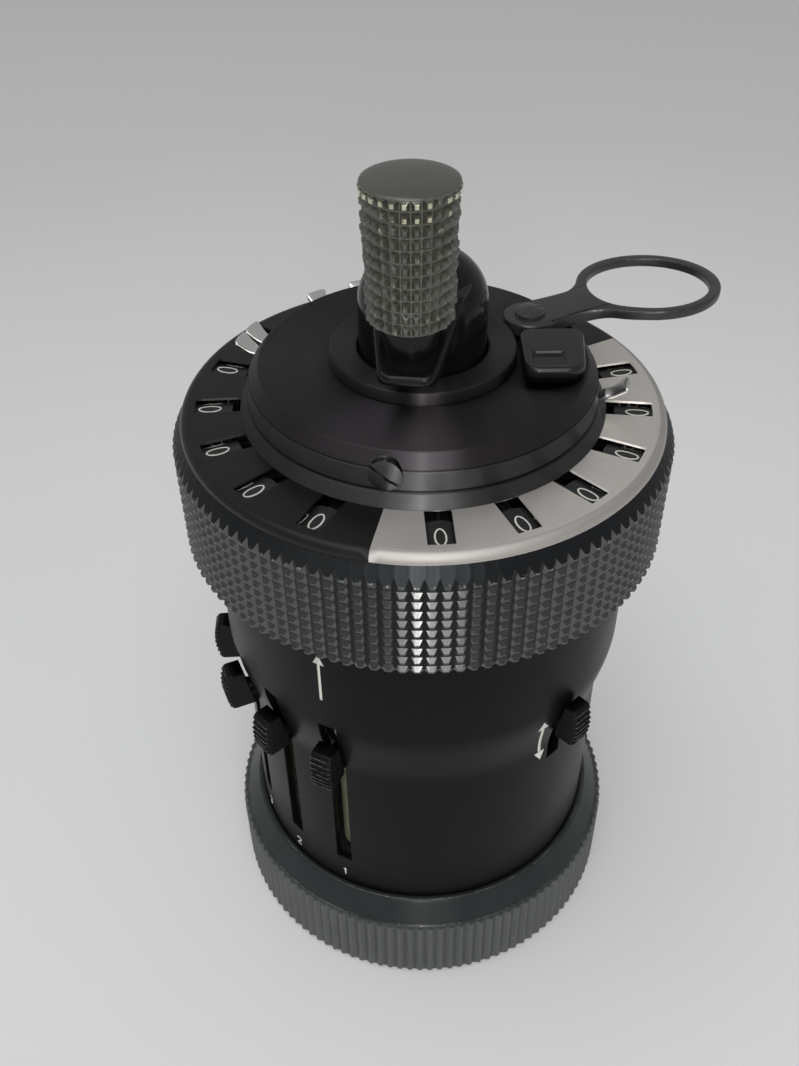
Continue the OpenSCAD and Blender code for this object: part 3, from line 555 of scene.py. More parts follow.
# each point is sunk by the deeper of its two cuts; an upright cut runs out where its bottom meets the cone
def makeCarriageRing():
    r, low, high = reach("carriage_ring"), lowest("carriage_ring"), highest("carriage_ring")
    cells, rows, depth, level = (knurl[key] for key in ("columns", "rows", "depth", "level"))
    side = 0.5 - knurl["tip"]
    start = side * (1 - level / depth)
    phase = np.array([0, start, side, 1 - side, 1 - start])
    deg = knurl["turn"] + (np.arange(cells)[:, None] + phase).ravel() * 360 / cells
    upright = np.tile([depth, level, 0, 0, level], cells)
    coneZ = high - knurl["coneLow"]
    pitch = (coneZ - low - knurl["lastTip"]) / rows
    tipZ = low + knurl["lastTip"] + np.arange(rows + 1) * pitch
    rowZ = (tipZ[:, None] + np.array([-2 * knurl["flat"], 0, 0.5 - knurl["flat"]]) * pitch).ravel()[:-2]
    across = np.tile([0, 0, level], rows + 1)[:-2]
    sunk = np.maximum(upright[None, :], across[:, None])
    rub = np.repeat(np.repeat(knurl["rub"] * chance.random((rows + 1, cells)) ** 3, 3, 0), len(phase), 1)
    sunk = np.where(sunk == 0, rub[:len(rowZ)], sunk)
    chips = np.repeat(np.abs(chance.normal(0, knurl["chip"], cells)), len(phase)) * (upright == 0)
    lastCut = upright + chips
    runOut = coneZ + lastCut / knurl["coneIn"] * knurl["coneLow"]
    top, inside, root = r - knurl["coneIn"], r - knurl["wall"], r - depth
    plain = np.array([[high - 0.05, top - 0.02], [high, top - 0.12], [high, inside], [low + knurl["skirtHigh"], inside],
                      [low + knurl["skirtHigh"], knurl["skirtR"]], [low, knurl["skirtR"]], [low, root - 0.1],
                      [low + 0.06, root]])
    spread = lambda values: np.repeat(values[:, None], len(deg), 1)
    sunk = np.concatenate([sunk, lastCut[None], r - spread(plain[:, 1])])
    z = np.concatenate([spread(rowZ), runOut[None], spread(plain[:, 0])])
    points = around(deg[None, :], r - sunk, z)
    quads = gridQuads(len(z), len(deg), True)
    cut = len(rowZ) * len(deg)
    cutFaces = facets(quads[:cut], -sunk.ravel())
    faces = cutFaces.tolist() + quads[cut:].tolist()
    wear = np.clip(1 - sunk / depth, 0, 1)
    wear[len(rowZ)] *= 1.25
    wear[len(rowZ) + 1:] = 0
    shape = Shape(points, faces, wear, np.arange(len(faces)) < len(cutFaces))
    addPiece("knurled_ring", shape, "carriage", paints["knurl"], ["carriage_ring"])
    # the cone's own turned skin in even columns, from the run-outs to the top
    even = np.arange(cells * 12) * 30 / cells
    runIn = np.interp(even, deg, lastCut, period=360)
    coneR = np.stack([r - runIn, np.full(len(even), top - 0.02)])
    skinZ = np.stack([coneZ + runIn / knurl["coneIn"] * knurl["coneLow"], np.full(len(even), high - 0.05)])
    outer, inner = (around(even[None, :], coneR + out, skinZ) for out in (knurl["proud"], -knurl["skin"]))
    worn = np.stack([runIn < knurl["skin"], np.zeros(len(even))])
    shape = pierced(outer, inner, np.zeros((1, len(even)), bool), worn)
    shape.flat = np.arange(len(shape.faces)) >= len(even)
    addPiece("turned_cone", shape, "carriage", paints["cone"])


makeCarriageRing()
print("carriage ring made")


# dial covers: flat ring sectors with a rounded lip and parallel-sided windows
bore = reach("carriage_sleeve") - 1.9
cover = {"lip": 0.9, "windowW": 2.6, "windowOut": 23.9, "windowLen": 5.0, "thin": 0.25, "edge": 0.07}
resultCount, counterCount = howMany("result_dial_"), howMany("counter_dial_")
resultDegs = [bearing(joints[f"result_dial_{i}_turn"]["axis"]) for i in range(1, resultCount + 1)]
counterDegs = [bearing(joints[f"counter_dial_{i}_turn"]["axis"]) for i in range(1, counterCount + 1)]
placeDeg = 20.0
sectorGap = (360 - placeDeg * (resultCount + counterCount - 2)) / 2
coverR = 25.45


# column angle = a fixed part + a share of the window's half angle at that radius, so windows stay parallel
def makeCover(name, centres, start, stop, paint, node):
    centres = np.sort(np.array(centres) % 360)
    centres = np.where(centres < start, centres + 360, centres)
    centres = np.sort(centres)
    steps = np.linspace(0, 1, 7)[:-1]
    fixed, share, inWindow = [start + (centres[0] - start) * steps], [-steps], [np.zeros(6, bool)]
    for k, centre in enumerate(centres):
        fixed += [[centre, centre]]
        share += [[-1.0, 0.0]]
        inWindow += [[True, True]]
        after = centres[k + 1] if k + 1 < len(centres) else stop
        fixed += [centre + (after - centre) * steps]
        share += [1 - 2 * steps if k + 1 < len(centres) else 1 - steps]
        inWindow += [np.zeros(6, bool)]
    fixed, share = np.append(np.concatenate(fixed), stop), np.append(np.concatenate(share), 0.0)
    inWindow = np.concatenate(inWindow)
    low, high, lip = lowest(node), highest(node), cover["lip"]
    turn = np.radians(np.linspace(0, 90, 9))
    windowIn = cover["windowOut"] - cover["windowLen"]
    r = np.concatenate([[coverR - 0.03, coverR], coverR - lip + lip * np.cos(turn),
                        np.linspace(coverR - lip - 0.1, cover["windowOut"], 3),
                        np.linspace(cover["windowOut"], windowIn, 6)[1:], [15.0, 11.0, bore]])
    z = np.concatenate([[low, low + 0.05], high - lip + lip * np.sin(turn), np.full(3 + 5 + 3, high)])
    half = np.degrees(np.arcsin(cover["windowW"] / 2 / r))
    deg = fixed[None, :] + share[None, :] * half[:, None]
    under = np.where((r < coverR - lip - 0.05) & (r > windowIn - 0.5), high - cover["thin"], low)
    outer = around(deg, r[:, None], z[:, None])
    inner = around(deg, np.minimum(r, coverR - 0.3)[:, None], under[:, None])
    midR = (r[1:] + r[:-1]) / 2
    gaps = ((midR < cover["windowOut"]) & (midR > windowIn))[:, None] & inWindow[None, :]
    # the lip counts as worn: bare spots on the black cover, and on the silver one a darker lip that is partly painted
    # shade
    wear = np.repeat(((r > coverR - lip + 0.1) & (z > low + 0.15))[:, None] * 1.0, len(fixed), 1)
    shape = pierced(outer, inner, gaps, wear, False)
    addPiece(name, shape, "carriage", paint, [node], cover["edge"])


counterStart = counterDegs[0] - sectorGap / 2
counterStop = counterDegs[-1] + sectorGap / 2
makeCover("silver_cover", counterDegs, counterStart, counterStop, paints["silver"], "counter_cover")
makeCover("black_cover", resultDegs, counterStop, counterStart + 360, paints["cover"], "result_cover")
print("covers made")


# stepped ring, clearing deck and the collar of the carriage sleeve
deck = {"footR": 19.15, "footTopR": 18.35, "footHigh": 1.3, "grooveH": 0.25, "grooveR": 17.4, "bandR": 18.2,
        "bandTopR": 18.0, "rim": 0.1, "deckR": 17.9, "deckTopR": 16.85, "deckT": 1.45, "flangeH": 1.4,
        "sleeveWall": 1.0, "stemGap": 3.05}


def makeDeck():
    low, high = lowest("marker_ring"), highest("marker_ring")
    grooveZ = low + deck["footHigh"]
    stepped = [[bore, low], [deck["footR"], low], [deck["footTopR"], grooveZ], [deck["grooveR"], grooveZ],
               [deck["grooveR"], grooveZ + deck["grooveH"]], [deck["bandR"], grooveZ + deck["grooveH"]],
               [deck["bandTopR"], high], [bore, high]]
    addPiece("stepped_ring", turned(*rounded(stepped, deck["rim"])), "carriage", paints["bands"],
             ["marker_ring"])
    deckZ = lowest("clearing_deck")
    topZ = deckZ + deck["deckT"]
    disc = [[bore, deckZ], [deck["deckR"], deckZ], [deck["deckR"] - 0.1, deckZ + 0.25],
            [deck["deckTopR"], topZ], [bore, topZ]]
    addPiece("turned_deck", turned(*rounded(disc, 0.16)), "clearing", paints["deck"], ["clearing_deck"])
    addPiece("lever_seat", makeSeat(topZ), "clearing", paints["seat"])
    sleeve, flangeR = lowest("carriage_sleeve"), reach("carriage_sleeve")
    flangeZ = highest("carriage_sleeve") - deck["flangeH"]
    outR = bore - 0.05
    inR = outR - deck["sleeveWall"]
    tube = [[deck["stemGap"], sleeve], [outR, sleeve], [outR, flangeZ], [flangeR, flangeZ],
            [flangeR - 0.15, flangeZ + deck["flangeH"]], [inR, flangeZ + deck["flangeH"]], [inR, sleeve + 2],
            [deck["stemGap"], sleeve + 2]]
    addPiece("turned_sleeve", turned(*rounded(tube, 0.25)), "sleeve", paints["deck"], ["carriage_sleeve"])


# raised seat beside the lever: a block with round corners and edges and a shallow dish in its top
seat = {"high": 1.65, "long": 8.2, "round": 1.5, "edge": 0.45, "dish": 0.4, "dishW": 3.6, "dishL": 3.0, "dishIn": 0.7,
        "dishRound": 0.7}


def makeSeat(topZ):
    inR, outR = reach("carriage_sleeve") + 0.3, deck["deckTopR"] - 0.3
    back = leverPivot[1] - (np.hypot(*leverPivot) - inR) - 0.3
    front = back - seat["long"]
    rim = lambda y: np.sqrt(outR ** 2 - y ** 2)
    block = rounded([[inR, front], [rim(front), front], [rim(back), back], [inR, back]], seat["round"], 8)[0]
    # the side by the deck's rim bulges to follow it
    straight = np.interp(block[:, 1], [front, back], [rim(front), rim(back)])
    block[:, 0] = inR + (block[:, 0] - inR) * (rim(block[:, 1]) - inR) / (straight - inR)
    x, y = inR + seat["dishIn"], front + seat["dishIn"]
    farX, farY = x + seat["dishW"], y + seat["dishL"]
    dish = rounded([[x, y], [farX, y], [farX, farY], [x, farY]], seat["dishRound"], 8)[0]
    bend = np.radians(np.linspace(0, 90, 6))
    rows = [(block, 0, -0.05)]
    rows += [(block, seat["edge"] * (1 - math.cos(b)), seat["high"] - seat["edge"] * (1 - math.sin(b))) for b in bend]
    rows += [(dish, 0, seat["high"]), (dish, 0.12, seat["high"] - 0.05), (dish, 0.22, seat["high"] - 0.16),
             (dish, 0.4, seat["high"] - seat["dish"])]
    return swept(np.stack([np.insert(drawnIn(line, inset), 2, topZ + up, axis=1) for line, inset, up in rows]))


makeDeck()
print("deck made")


# clearing lever: one plate, thinner towards the flat finger ring, with rounded edges; use has bent the ring up a little
lever = {"ringR": 7.75, "band": 1.2, "ringT": 1.1, "reach": 14.5, "waist": 2.05, "edge": 0.3, "joinDeg": 34.0,
         "lift": 0.8, "rollDeg": 4.5}


# cross-section of a rounded bar, width across and thickness up, as an array of angles
def barSection(halfW, halfT, count=20):
    a = np.radians((np.arange(count) + 0.5) * 360 / count)
    power = 0.35
    across = np.sign(np.cos(a)) * np.abs(np.cos(a)) ** power
    up = np.sign(np.sin(a)) * np.abs(np.sin(a)) ** power
    return across * halfW, up * halfT


# half of the lever's outline from the root's tip to the far side of the ring, and the hole's edge beside it;
# it is the root's circle, the waist, a curve that meets the ring's circle along its tangent, and that circle
def leverOutline(rootR):
    join = math.radians(lever["joinDeg"])
    corner = np.array([lever["ringR"] * math.cos(join), lever["ringR"] * math.sin(join)])
    slant = np.array([math.sin(join), -math.cos(join)])
    bendAt = corner + slant * (corner[1] - lever["waist"]) / -slant[1]
    start = np.array([lever["reach"] - rootR * 0.82, lever["waist"]])
    end = math.pi - math.asin(lever["waist"] / rootR)
    turn = np.linspace(0, end, 30)[:-1]
    root = np.stack([lever["reach"] + rootR * np.cos(turn), rootR * np.sin(turn)], -1)
    t = np.linspace(0, 1, 16)[:-1, None]
    curve = (1 - t) ** 2 * start + 2 * t * (1 - t) * bendAt + t * t * corner
    turn = np.linspace(join, math.pi, 60)
    ring = lever["ringR"] * np.stack([np.cos(turn), np.sin(turn)], -1)
    outer = np.concatenate([root, curve, ring])
    turn = np.concatenate([np.linspace(0, join, len(root) + len(curve) + 1)[:-1], turn])
    inner = (lever["ringR"] - lever["band"]) * np.stack([np.cos(turn), np.sin(turn)], -1)
    mirror = lambda half: np.concatenate([half, half[-2:0:-1] * [1, -1]])
    return mirror(outer), mirror(inner)


def makeLever():
    low, high = lowest("clearing_lever"), highest("clearing_lever")
    eye = np.array([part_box("clearing_lever")[1][0] / mm - lever["ringR"], 0.0])
    eye[1] = leverPivot[1] + math.sqrt(lever["reach"] ** 2 - (eye[0] - leverPivot[0]) ** 2)
    along = (leverPivot - eye) / lever["reach"]
    side = np.array([-along[1], along[0]])
    rootR = np.hypot(*leverPivot) - reach("carriage_sleeve") - 0.3
    outer, inner = leverOutline(rootR)
    bend = np.radians(np.linspace(0, 90, 5))
    inset, drop = lever["edge"] * (1 - np.cos(bend)), lever["edge"] * (1 - np.sin(bend))
    loops = [(outer, inset[::-1], drop[::-1], -1), (outer, inset, drop, 1), (inner, -inset[::-1], drop[::-1], 1),
             (inner, -inset, drop, -1)]
    rows, worn = [], []
    for line, insets, drops, sign in loops:
        for k, (draw, fall) in enumerate(zip(insets, drops)):
            edge = drawnIn(line, draw)
            halfT = (lever["ringT"] + (high - low - lever["ringT"]) * ease(line[:, 0], 6.5, 10.5)) / 2
            flat = eye + edge[:, :1] * along + edge[:, 1:] * side
            bent = (lever["lift"] + edge[:, 1] * math.tan(math.radians(lever["rollDeg"]))) * ease(-edge[:, 0], -12, -4)
            rows.append(np.insert(flat, 2, (low + high) / 2 + bent + sign * (halfT - fall), axis=1))
            worn.append(np.full(len(line), 1 - abs(k - 2) / 2))
    shape = Shape(np.stack(rows), gridQuads(len(rows), len(outer), True), np.stack(worn))
    addPiece("finger_lever", shape, "lever", paints["lever"], ["clearing_lever"])


makeLever()
print("lever made")


# crank: domed hub, an arm that slopes to a blunt rounded end, and the knurled grip on its neck
crank = {"deg": -7.0, "hubR": 6.5, "armHubR": 5.3, "endW": 5.4, "corner": 1.2, "reach": 14.9, "endT": 0.9, "rise": 4.0,
         "sideH": 0.8, "domeH": 5.5, "edge": 0.32}


# outline drawn tight round the hub's circle and the two corner circles: each direction takes the circle that
# reaches furthest along it; gives places and directions, evenly spaced, as ahead and aside
def armOutline(count=240):
    turn = np.radians(np.linspace(-180, 180, 1441))
    normal = np.stack([np.cos(turn), np.sin(turn)], -1)
    ahead, aside = crank["reach"] - crank["corner"], crank["endW"] / 2 - crank["corner"]
    middles = np.array([[0, 0], [ahead, aside], [ahead, -aside]])
    radii = np.array([crank["armHubR"], crank["corner"], crank["corner"]])
    furthest = np.argmax(normal @ middles.T + radii, 1)
    line = middles[furthest] + radii[furthest][:, None] * normal
    along = np.concatenate([[0], np.cumsum(np.linalg.norm(np.diff(line, axis=0), axis=1))])
    spots = np.arange(count) * along[-1] / count
    even = lambda values: np.stack([np.interp(spots, along, values[:, k]) for k in range(2)], -1)
    return even(line), even(normal)


def makeCrankArm():
    low, top = lowest("crank_arm"), highest("crank_arm")
    domeZ = top - crank["domeH"]
    armZ = domeZ - crank["sideH"]
    turn = np.radians(np.linspace(0, 89.8, 16))
    hub = np.concatenate([[[5.9, low], [6.3, low + 0.05], [crank["hubR"], low + 0.3]],
                          np.stack([crank["hubR"] * np.cos(turn), domeZ + crank["domeH"] * np.sin(turn)], -1)])
    shape = turned(hub, None, 128, False)
    line, normal = armOutline()
    slope = (crank["rise"] - crank["endT"]) / (crank["reach"] - crank["armHubR"])
    bend = np.radians(np.linspace(0, 90, 6))
    # rows: in below, up the side, round the edge and over the top to the middle
    inset = np.concatenate([[0.12, 0], crank["edge"] * (1 - np.cos(bend)), np.full(5, crank["edge"])])
    share = np.concatenate([np.ones(8), np.linspace(0.9, 0.05, 5)])
    drop = np.concatenate([[0, 0], crank["edge"] * (1 - np.sin(bend)), np.zeros(5)])
    flat = (line[None] - normal[None] * inset[:, None, None]) * share[:, None, None]
    height = armZ + crank["rise"] - slope * np.maximum(flat[:, :, 0] - crank["armHubR"], 0) - drop[:, None]
    height[0], height[1] = armZ, armZ + 0.12
    ahead, aside = around(crank["deg"], 1.0, 0.0), around(crank["deg"] + 90, 1.0, 0.0)
    points = flat[:, :, :1] * ahead + flat[:, :, 1:] * aside
    points[:, :, 2] = height
    arm = swept(points)
    worn = np.concatenate([[0, 0], 1 - np.abs(np.linspace(-1, 1, 6)), np.zeros(5)])
    arm.wear = np.repeat(worn, len(line))
    addPiece("domed_crank", shape + arm, "crank", paints["crank"], ["crank_arm"])


# grip: square pyramids in rows, with a cut between the columns, below a low dome; it narrows towards the neck
grip = {"columns": 26, "rows": 11, "depth": 0.58, "reach": 10.8, "neckR": 2.7, "neckH": 3.5, "dome": 0.5, "taper": 0.35,
        "cut": 0.07, "tip": 0.16, "rim": 0.14}


def makeGrip():
    r, bottom, top = reach("crank_grip"), lowest("crank_grip"), highest("crank_grip") - grip["dome"] * 0.4
    knurlZ = bottom + grip["neckH"]
    spot = around(crank["deg"], grip["reach"], 0.0)
    phase = np.array([0, grip["cut"], 0.5 - grip["tip"], 0.5 + grip["tip"], 1 - grip["cut"]])
    cell = np.array([0.0, 0, 1, 1, 0])
    u = (np.arange(grip["columns"])[:, None] + phase).ravel()
    v = np.append((np.arange(grip["rows"])[:, None] + phase).ravel(), grip["rows"])
    tall = np.append(np.tile(cell, grip["rows"]), 0)[:, None] * np.tile(cell, grip["columns"])[None, :]
    rub = 1 - 0.4 * chance.random((grip["rows"] + 1, grip["columns"])) ** 2
    tall = tall * rub[v.astype(int)][:, u.astype(int)]
    drawn = grip["taper"] * (1 - v / grip["rows"])[:, None]
    radius = r - drawn - grip["depth"] * (1 - tall)
    # the top row ends at the dome's rim
    radius[-2:] = r - grip["rim"]
    deg = u * 360 / grip["columns"]
    a = np.radians(np.linspace(8, 89, 8))
    cap = np.repeat(((r - grip["rim"]) * np.cos(a))[:, None], len(u), 1)
    z = np.concatenate([knurlZ + v * (top - knurlZ) / grip["rows"], top + grip["dome"] * np.sin(a)])
    points = spot + around(deg[None, :], np.concatenate([radius, cap]), z[:, None])
    quads = gridQuads(len(z), len(u))
    cut = (len(v) - 1) * len(u)
    sides = facets(quads[:cut], tall.ravel())
    faces = sides.tolist() + quads[cut:].tolist() + caps(len(z), len(u))
    # the upper rows are handled most, and their extra bare metal also stands in for painted glints on the top rows
    handledAndGlinting = 1 + 0.45 * ease(v / grip["rows"], 0.68, 1.0)[:, None]
    wear = np.concatenate([tall * handledAndGlinting, np.full(cap.shape, 0.3)])
    addPiece("knurled_grip", Shape(points, faces, wear, np.arange(len(faces)) < len(sides)), "crank",
             paints["grip"], ["crank_grip"])
    t = np.linspace(0, 1, 10)
    neck = np.stack([grip["neckR"] * (0.7 + 0.3 * np.sqrt(1 - (1 - t) ** 2)), bottom + (grip["neckH"] + 0.1) * t], -1)
    shape = turned(neck, None, 64, False)
    shape.points = shape.points + spot
    addPiece("grip_neck", shape, "crank", paints["crank"])


makeCrankArm()
makeGrip()
print("crank made")


# slides: a thumb knob with a bowed, ridged face, its stem, fork and follower pin, and the sliding gear
slide = {"knobW": 2.5, "knobH": 5.6, "face": 25.8, "gap": 0.3, "ridges": 6, "groove": 0.28, "bow": 0.45, "corner": 0.5,
         "edge": 0.2, "stemW": 1.8, "stemH": 2.4, "knobDrop": 0.2, "plateIn": 20.15, "plateOut": 20.7, "side": 2.15,
         "armW": 0.6, "forkT": 0.7, "transR": 12.8, "setR": 18.0, "spindleR": 1.9, "ringR": 1.9, "boreR": 0.95,
         "gearR": 2.0, "gearRoot": 1.3, "gearH": 1.4, "pinR": 0.3, "pinIn": 19.45}


# turns a shape made at the front to an angle round the axis
def turnedTo(shape, deg):
    a = math.radians(deg)
    matrix = np.array([[math.cos(a), -math.sin(a), 0], [math.sin(a), math.cos(a), 0], [0, 0, 1]])
    shape.points = shape.points @ matrix.T
    return shape


# knob: a side profile carried across the width, drawn in at both sides for round edges; its back follows the
# housing, and its face is bowed and has hollow grooves with sharp ridges between them
def knobShape(low):
    h, corner = slide["knobH"], slide["corner"]
    phase = np.linspace(0, slide["ridges"], slide["ridges"] * 12 + 1)
    z = corner + (h - 2 * corner) * phase / slide["ridges"]
    part = phase % 1
    bow = lambda z: slide["bow"] * (2 * z / h - 1) ** 2
    face = slide["face"] - bow(z) - slide["groove"] * np.sqrt(1 - (2 * part - 1) ** 2)
    a = np.radians(np.linspace(0, 80, 6))
    bent = np.stack([slide["face"] - bow(0) - corner * (1 - np.sin(a)), corner * (1 - np.cos(a))], -1)
    back = housingRadius(np.array([low, low + h])) + slide["gap"]
    profile = np.concatenate([[[back[0], 0]], bent, np.stack([face, z], -1), (bent * [1, -1] + [0, h])[::-1],
                              [[back[1], h]]])
    ridge = np.concatenate([np.zeros(7), np.abs(2 * part - 1) ** 8, np.zeros(7)])
    middle, half = (profile.max(0) + profile.min(0)) / 2, np.ptp(profile, 0) / 2
    bend, edge = np.radians(np.linspace(90, 0, 5)), slide["edge"]
    side = slide["knobW"] / 2
    x = np.concatenate([-side + edge * (1 - np.sin(bend)), side - edge * (1 - np.sin(bend[::-1]))])
    inset = np.concatenate([edge * (1 - np.cos(bend)), edge * (1 - np.cos(bend[::-1]))])
    flat = middle + (profile - middle) * (1 - inset[:, None, None] / half)
    points = np.stack([np.broadcast_to(x[:, None], flat.shape[:2]), -flat[:, :, 0], low + flat[:, :, 1]], -1)
    shape = swept(points)
    shape.wear = np.tile(ridge, len(x))
    return shape


def boxShape(x0, x1, y0, y1, z0, z1):
    return plate([[x0, y0], [x1, y0], [x1, y1], [x0, y1]], z0, z1)


def circlePoints(r, count, middle=(0.0, 0.0)):
    a = np.arange(count) * 2 * math.pi / count
    return np.stack([middle[0] + r * np.cos(a), middle[1] + r * np.sin(a)], -1)


# a flat ring between two outlines of as many points
def ringPlate(outer, inner, low, high):
    rows = [np.insert(line, 2, z, axis=1) for line, z in ((outer, low), (outer, high), (inner, high), (inner, low))]
    return Shape(np.stack(rows), gridQuads(4, len(outer), True))


def slideShape(low):
    stem = slide["stemW"] / 2
    arm = slide["side"] + slide["armW"]
    forkZ = low + slide["stemH"] / 2 - slide["forkT"]
    hub = (0.0, -slide["transR"])
    shape = knobShape(low - slide["knobDrop"])
    shape += boxShape(-stem, stem, -slide["face"] + 1.75, -slide["plateOut"] + 0.01, low, low + slide["stemH"])
    shape += boxShape(-stem, arm, -slide["plateOut"], -slide["plateIn"], low, low + slide["stemH"])
    reachIn = -slide["setR"] + slide["spindleR"]
    outline = [[slide["side"], -slide["plateIn"] - 0.1], [arm, -slide["plateIn"] - 0.1], [arm, reachIn],
               [1.3, -slide["transR"]], [slide["armW"], -slide["transR"] - slide["ringR"] + 0.3],
               [slide["side"], reachIn - 0.3]]
    shape += plate(outline, forkZ, forkZ + slide["forkT"])
    shape += ringPlate(circlePoints(slide["ringR"], 48, hub), circlePoints(slide["boreR"], 48, hub), forkZ,
                       forkZ + slide["forkT"])
    pin = circlePoints(slide["pinR"], 16)
    rows = [np.stack([pin[:, 0], np.full(16, -r), low + slide["stemH"] / 2 + pin[:, 1]], -1)
            for r in (slide["pinIn"], slide["plateIn"] + 0.02)]
    return shape + swept(np.stack(rows))


# small gear: root and tip radii in turn, four points to a tooth
def gearShape(low):
    a = (np.arange(10)[:, None] + np.array([0.05, 0.3, 0.45, 0.7])[None, :]).ravel() * 2 * math.pi / 10
    r = np.tile([slide["gearRoot"], slide["gearR"], slide["gearR"], slide["gearRoot"]], 10)
    outer = np.stack([r * np.cos(a), -slide["transR"] + r * np.sin(a)], -1)
    inner = np.stack([slide["boreR"] * np.cos(a), -slide["transR"] + slide["boreR"] * np.sin(a)], -1)
    return ringPlate(outer, inner, low, low + slide["gearH"])


def makeSlides():
    low = lowest("setting_slider_1") + slide["knobDrop"]
    gearZ = low + slide["stemH"] / 2 + 0.05
    for i, deg in enumerate(slideDegs, 1):
        addPiece(f"slide_knob_{i}", turnedTo(slideShape(low), deg), f"slide_{i}", paints["knob"],
                 [f"setting_slider_{i}"])
        addPiece(f"slide_gear_{i}", turnedTo(gearShape(gearZ), deg), f"slide_{i}", paints["brass"])
    low = lowest("reversing_lever") + slide["knobDrop"]
    shape = turnedTo(slideShape(low), shell["reverseDeg"])
    addPiece("reversing_knob", shape, "reversing", paints["knob"], ["reversing_lever"])


makeSlides()
print("slides made")


# decimal markers: a bright tab that leaves the groove, thickens and turns up
marker = {"inR": 17.6, "bendR": 19.15, "out": 2.0, "rise": 1.6, "halfW": 0.8, "rootW": 0.9, "flare": 0.8, "rootT": 0.16,
          "thick": 0.58}


def makeMarkers():
    t = np.linspace(0, 1, 26)
    r = marker["inR"] + t * (marker["bendR"] + marker["out"] - marker["inR"])
    swell = ease(r, deck["bandR"] - 0.1, deck["bandR"] + 0.7)
    rootZ = lowest("marker_ring") + deck["footHigh"] + deck["grooveH"] / 2
    lift = marker["rise"] * ease(r, marker["bendR"] - 0.2, marker["bendR"] + marker["out"] + 0.6)
    end = np.sqrt(np.clip(1 - np.clip((t - 0.9) / 0.1, 0, 0.98) ** 2, 0, 1))
    halfT = (marker["rootT"] + (marker["thick"] - marker["rootT"]) * swell) / 2 * end
    halfW = marker["halfW"] * (marker["rootW"] + marker["flare"] * t ** 2) * end
    across, up = barSection(halfW[:, None], halfT[:, None], 16)
    for i in range(1, howMany("decimal_marker_") + 1):
        node = f"decimal_marker_{i}"
        middle = rootZ + (lowest(node) + marker["thick"] / 2 - rootZ) * swell + lift
        points = np.stack([across, -np.broadcast_to(r[:, None], up.shape), middle[:, None] + up], -1)
        addPiece(f"marker_tab_{i}", turnedTo(swept(points), nodeBearing(node)), f"marker_{i}",
                 paints["bright"], [node])


makeMarkers()
print("markers made")


# screws: the side one in the stepped ring, and the shoulder screw that the lever swings on
sideScrew = {"headR": 1.65, "root": 17.3, "high": 1.2, "dome": 0.3, "slotW": 0.34, "slotDeep": 0.35, "slotDeg": -35.0,
             "edge": 0.06}
leverScrew = {"headR": 1.6, "high": 0.75, "dome": 0.35, "slotW": 0.22, "slotDeep": 0.2, "slotDeg": 30.0, "shankR": 1.0,
              "edge": 0.05}


# a head's dome over lines across its slot, each as long as the head's circle is wide there; x and y lie along the
# head and the third column is the height
def screwHead(size):
    half, r = size["slotW"] / 2, size["headR"]
    side = half + (r * 0.995 - half) * np.sin(np.radians(np.linspace(0, 90, 9)))
    across = np.concatenate([-side[::-1], [-half, half], side])
    slot = np.abs(np.arange(len(across)) - (len(across) - 1) / 2) < 1
    along = np.sqrt(r ** 2 - across ** 2)[:, None] * np.sin(np.radians(np.linspace(-90, 90, 17)))[None, :]
    across = np.repeat(across[:, None], along.shape[1], 1)
    tall = size["high"] - size["dome"] * (across ** 2 + along ** 2) / r ** 2 - size["slotDeep"] * slot[:, None]
    a = math.radians(size["slotDeg"])
    x, y = along * math.cos(a) - across * math.sin(a), along * math.sin(a) + across * math.cos(a)
    worn = (np.abs(np.abs(across) - half) < 0.01) * 1.0
    outer, inner = np.stack([x, y, tall], -1), np.stack([x, y, np.zeros(x.shape)], -1)
    return pierced(outer, inner, np.zeros((len(x) - 1, x.shape[1] - 1), bool), worn, False)


def makeScrews():
    shape = screwHead(sideScrew)
    x, y, h = shape.points.T
    middle = (lowest("ring_screw") + highest("ring_screw")) / 2
    shape.points = np.stack([x, -sideScrew["root"] - h, middle + y], -1)
    addPiece("slotted_screw", turnedTo(shape, nodeBearing("ring_screw")), "carriage", paints["bands"],
             ["ring_screw"], sideScrew["edge"])
    headZ = highest("lever_screw") - leverScrew["high"]
    shape = screwHead(leverScrew)
    shape.points = shape.points + np.append(leverPivot, headZ)
    shape += plate(circlePoints(leverScrew["shankR"], 32, leverPivot), lowest("lever_screw"), headZ + 0.01)
    addPiece("shoulder_screw", shape, "clearing", paints["lever"], ["lever_screw"], leverScrew["edge"])


makeScrews()
print("screws made")


# carriage spring: round wire carried along a helix
spring = {"turns": 7, "wire": 0.8}


def makeSpring():
    low, high = lowest("carriage_spring") + spring["wire"] / 2, highest("carriage_spring") - spring["wire"] / 2
    t = np.linspace(0, 1, 24 * spring["turns"] + 1)[:, None]
    a = np.radians(np.arange(10) * 36)[None, :]
    deg = 90 + t * 360 * spring["turns"]
    points = around(deg, reach("carriage_spring") - spring["wire"] / 2 * (1 + np.cos(a)),
                    low + (high - low) * t + spring["wire"] / 2 * np.sin(a))
    coil = addPiece("coil_spring", swept(points), "frame", paints["steel"], ["carriage_spring"])
    coil.modifiers.clear()
    lift = joints["carriage_lift"]["range_m"][1] / mm
    length = high - low + spring["wire"]
    (length - lift) / length
    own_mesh(coil)


makeSpring()
print("spring made")


# numerals: strokes in a box one wide and one high, lines and arcs of ellipses
def path(*points):
    return np.array(points, float), False


def arc(middle, rx, ry, start, stop, count=15):
    a = np.radians(np.linspace(start, stop, count))
    return np.stack([middle[0] + rx * np.cos(a), middle[1] + ry * np.sin(a)], -1), False


def loop(middle, rx, ry, count=24):
    a = np.arange(count) * 2 * math.pi / count
    return np.stack([middle[0] + rx * np.cos(a), middle[1] + ry * np.sin(a)], -1), True


def chain(*strokes):
    return np.concatenate([stroke[0] for stroke in strokes]), False


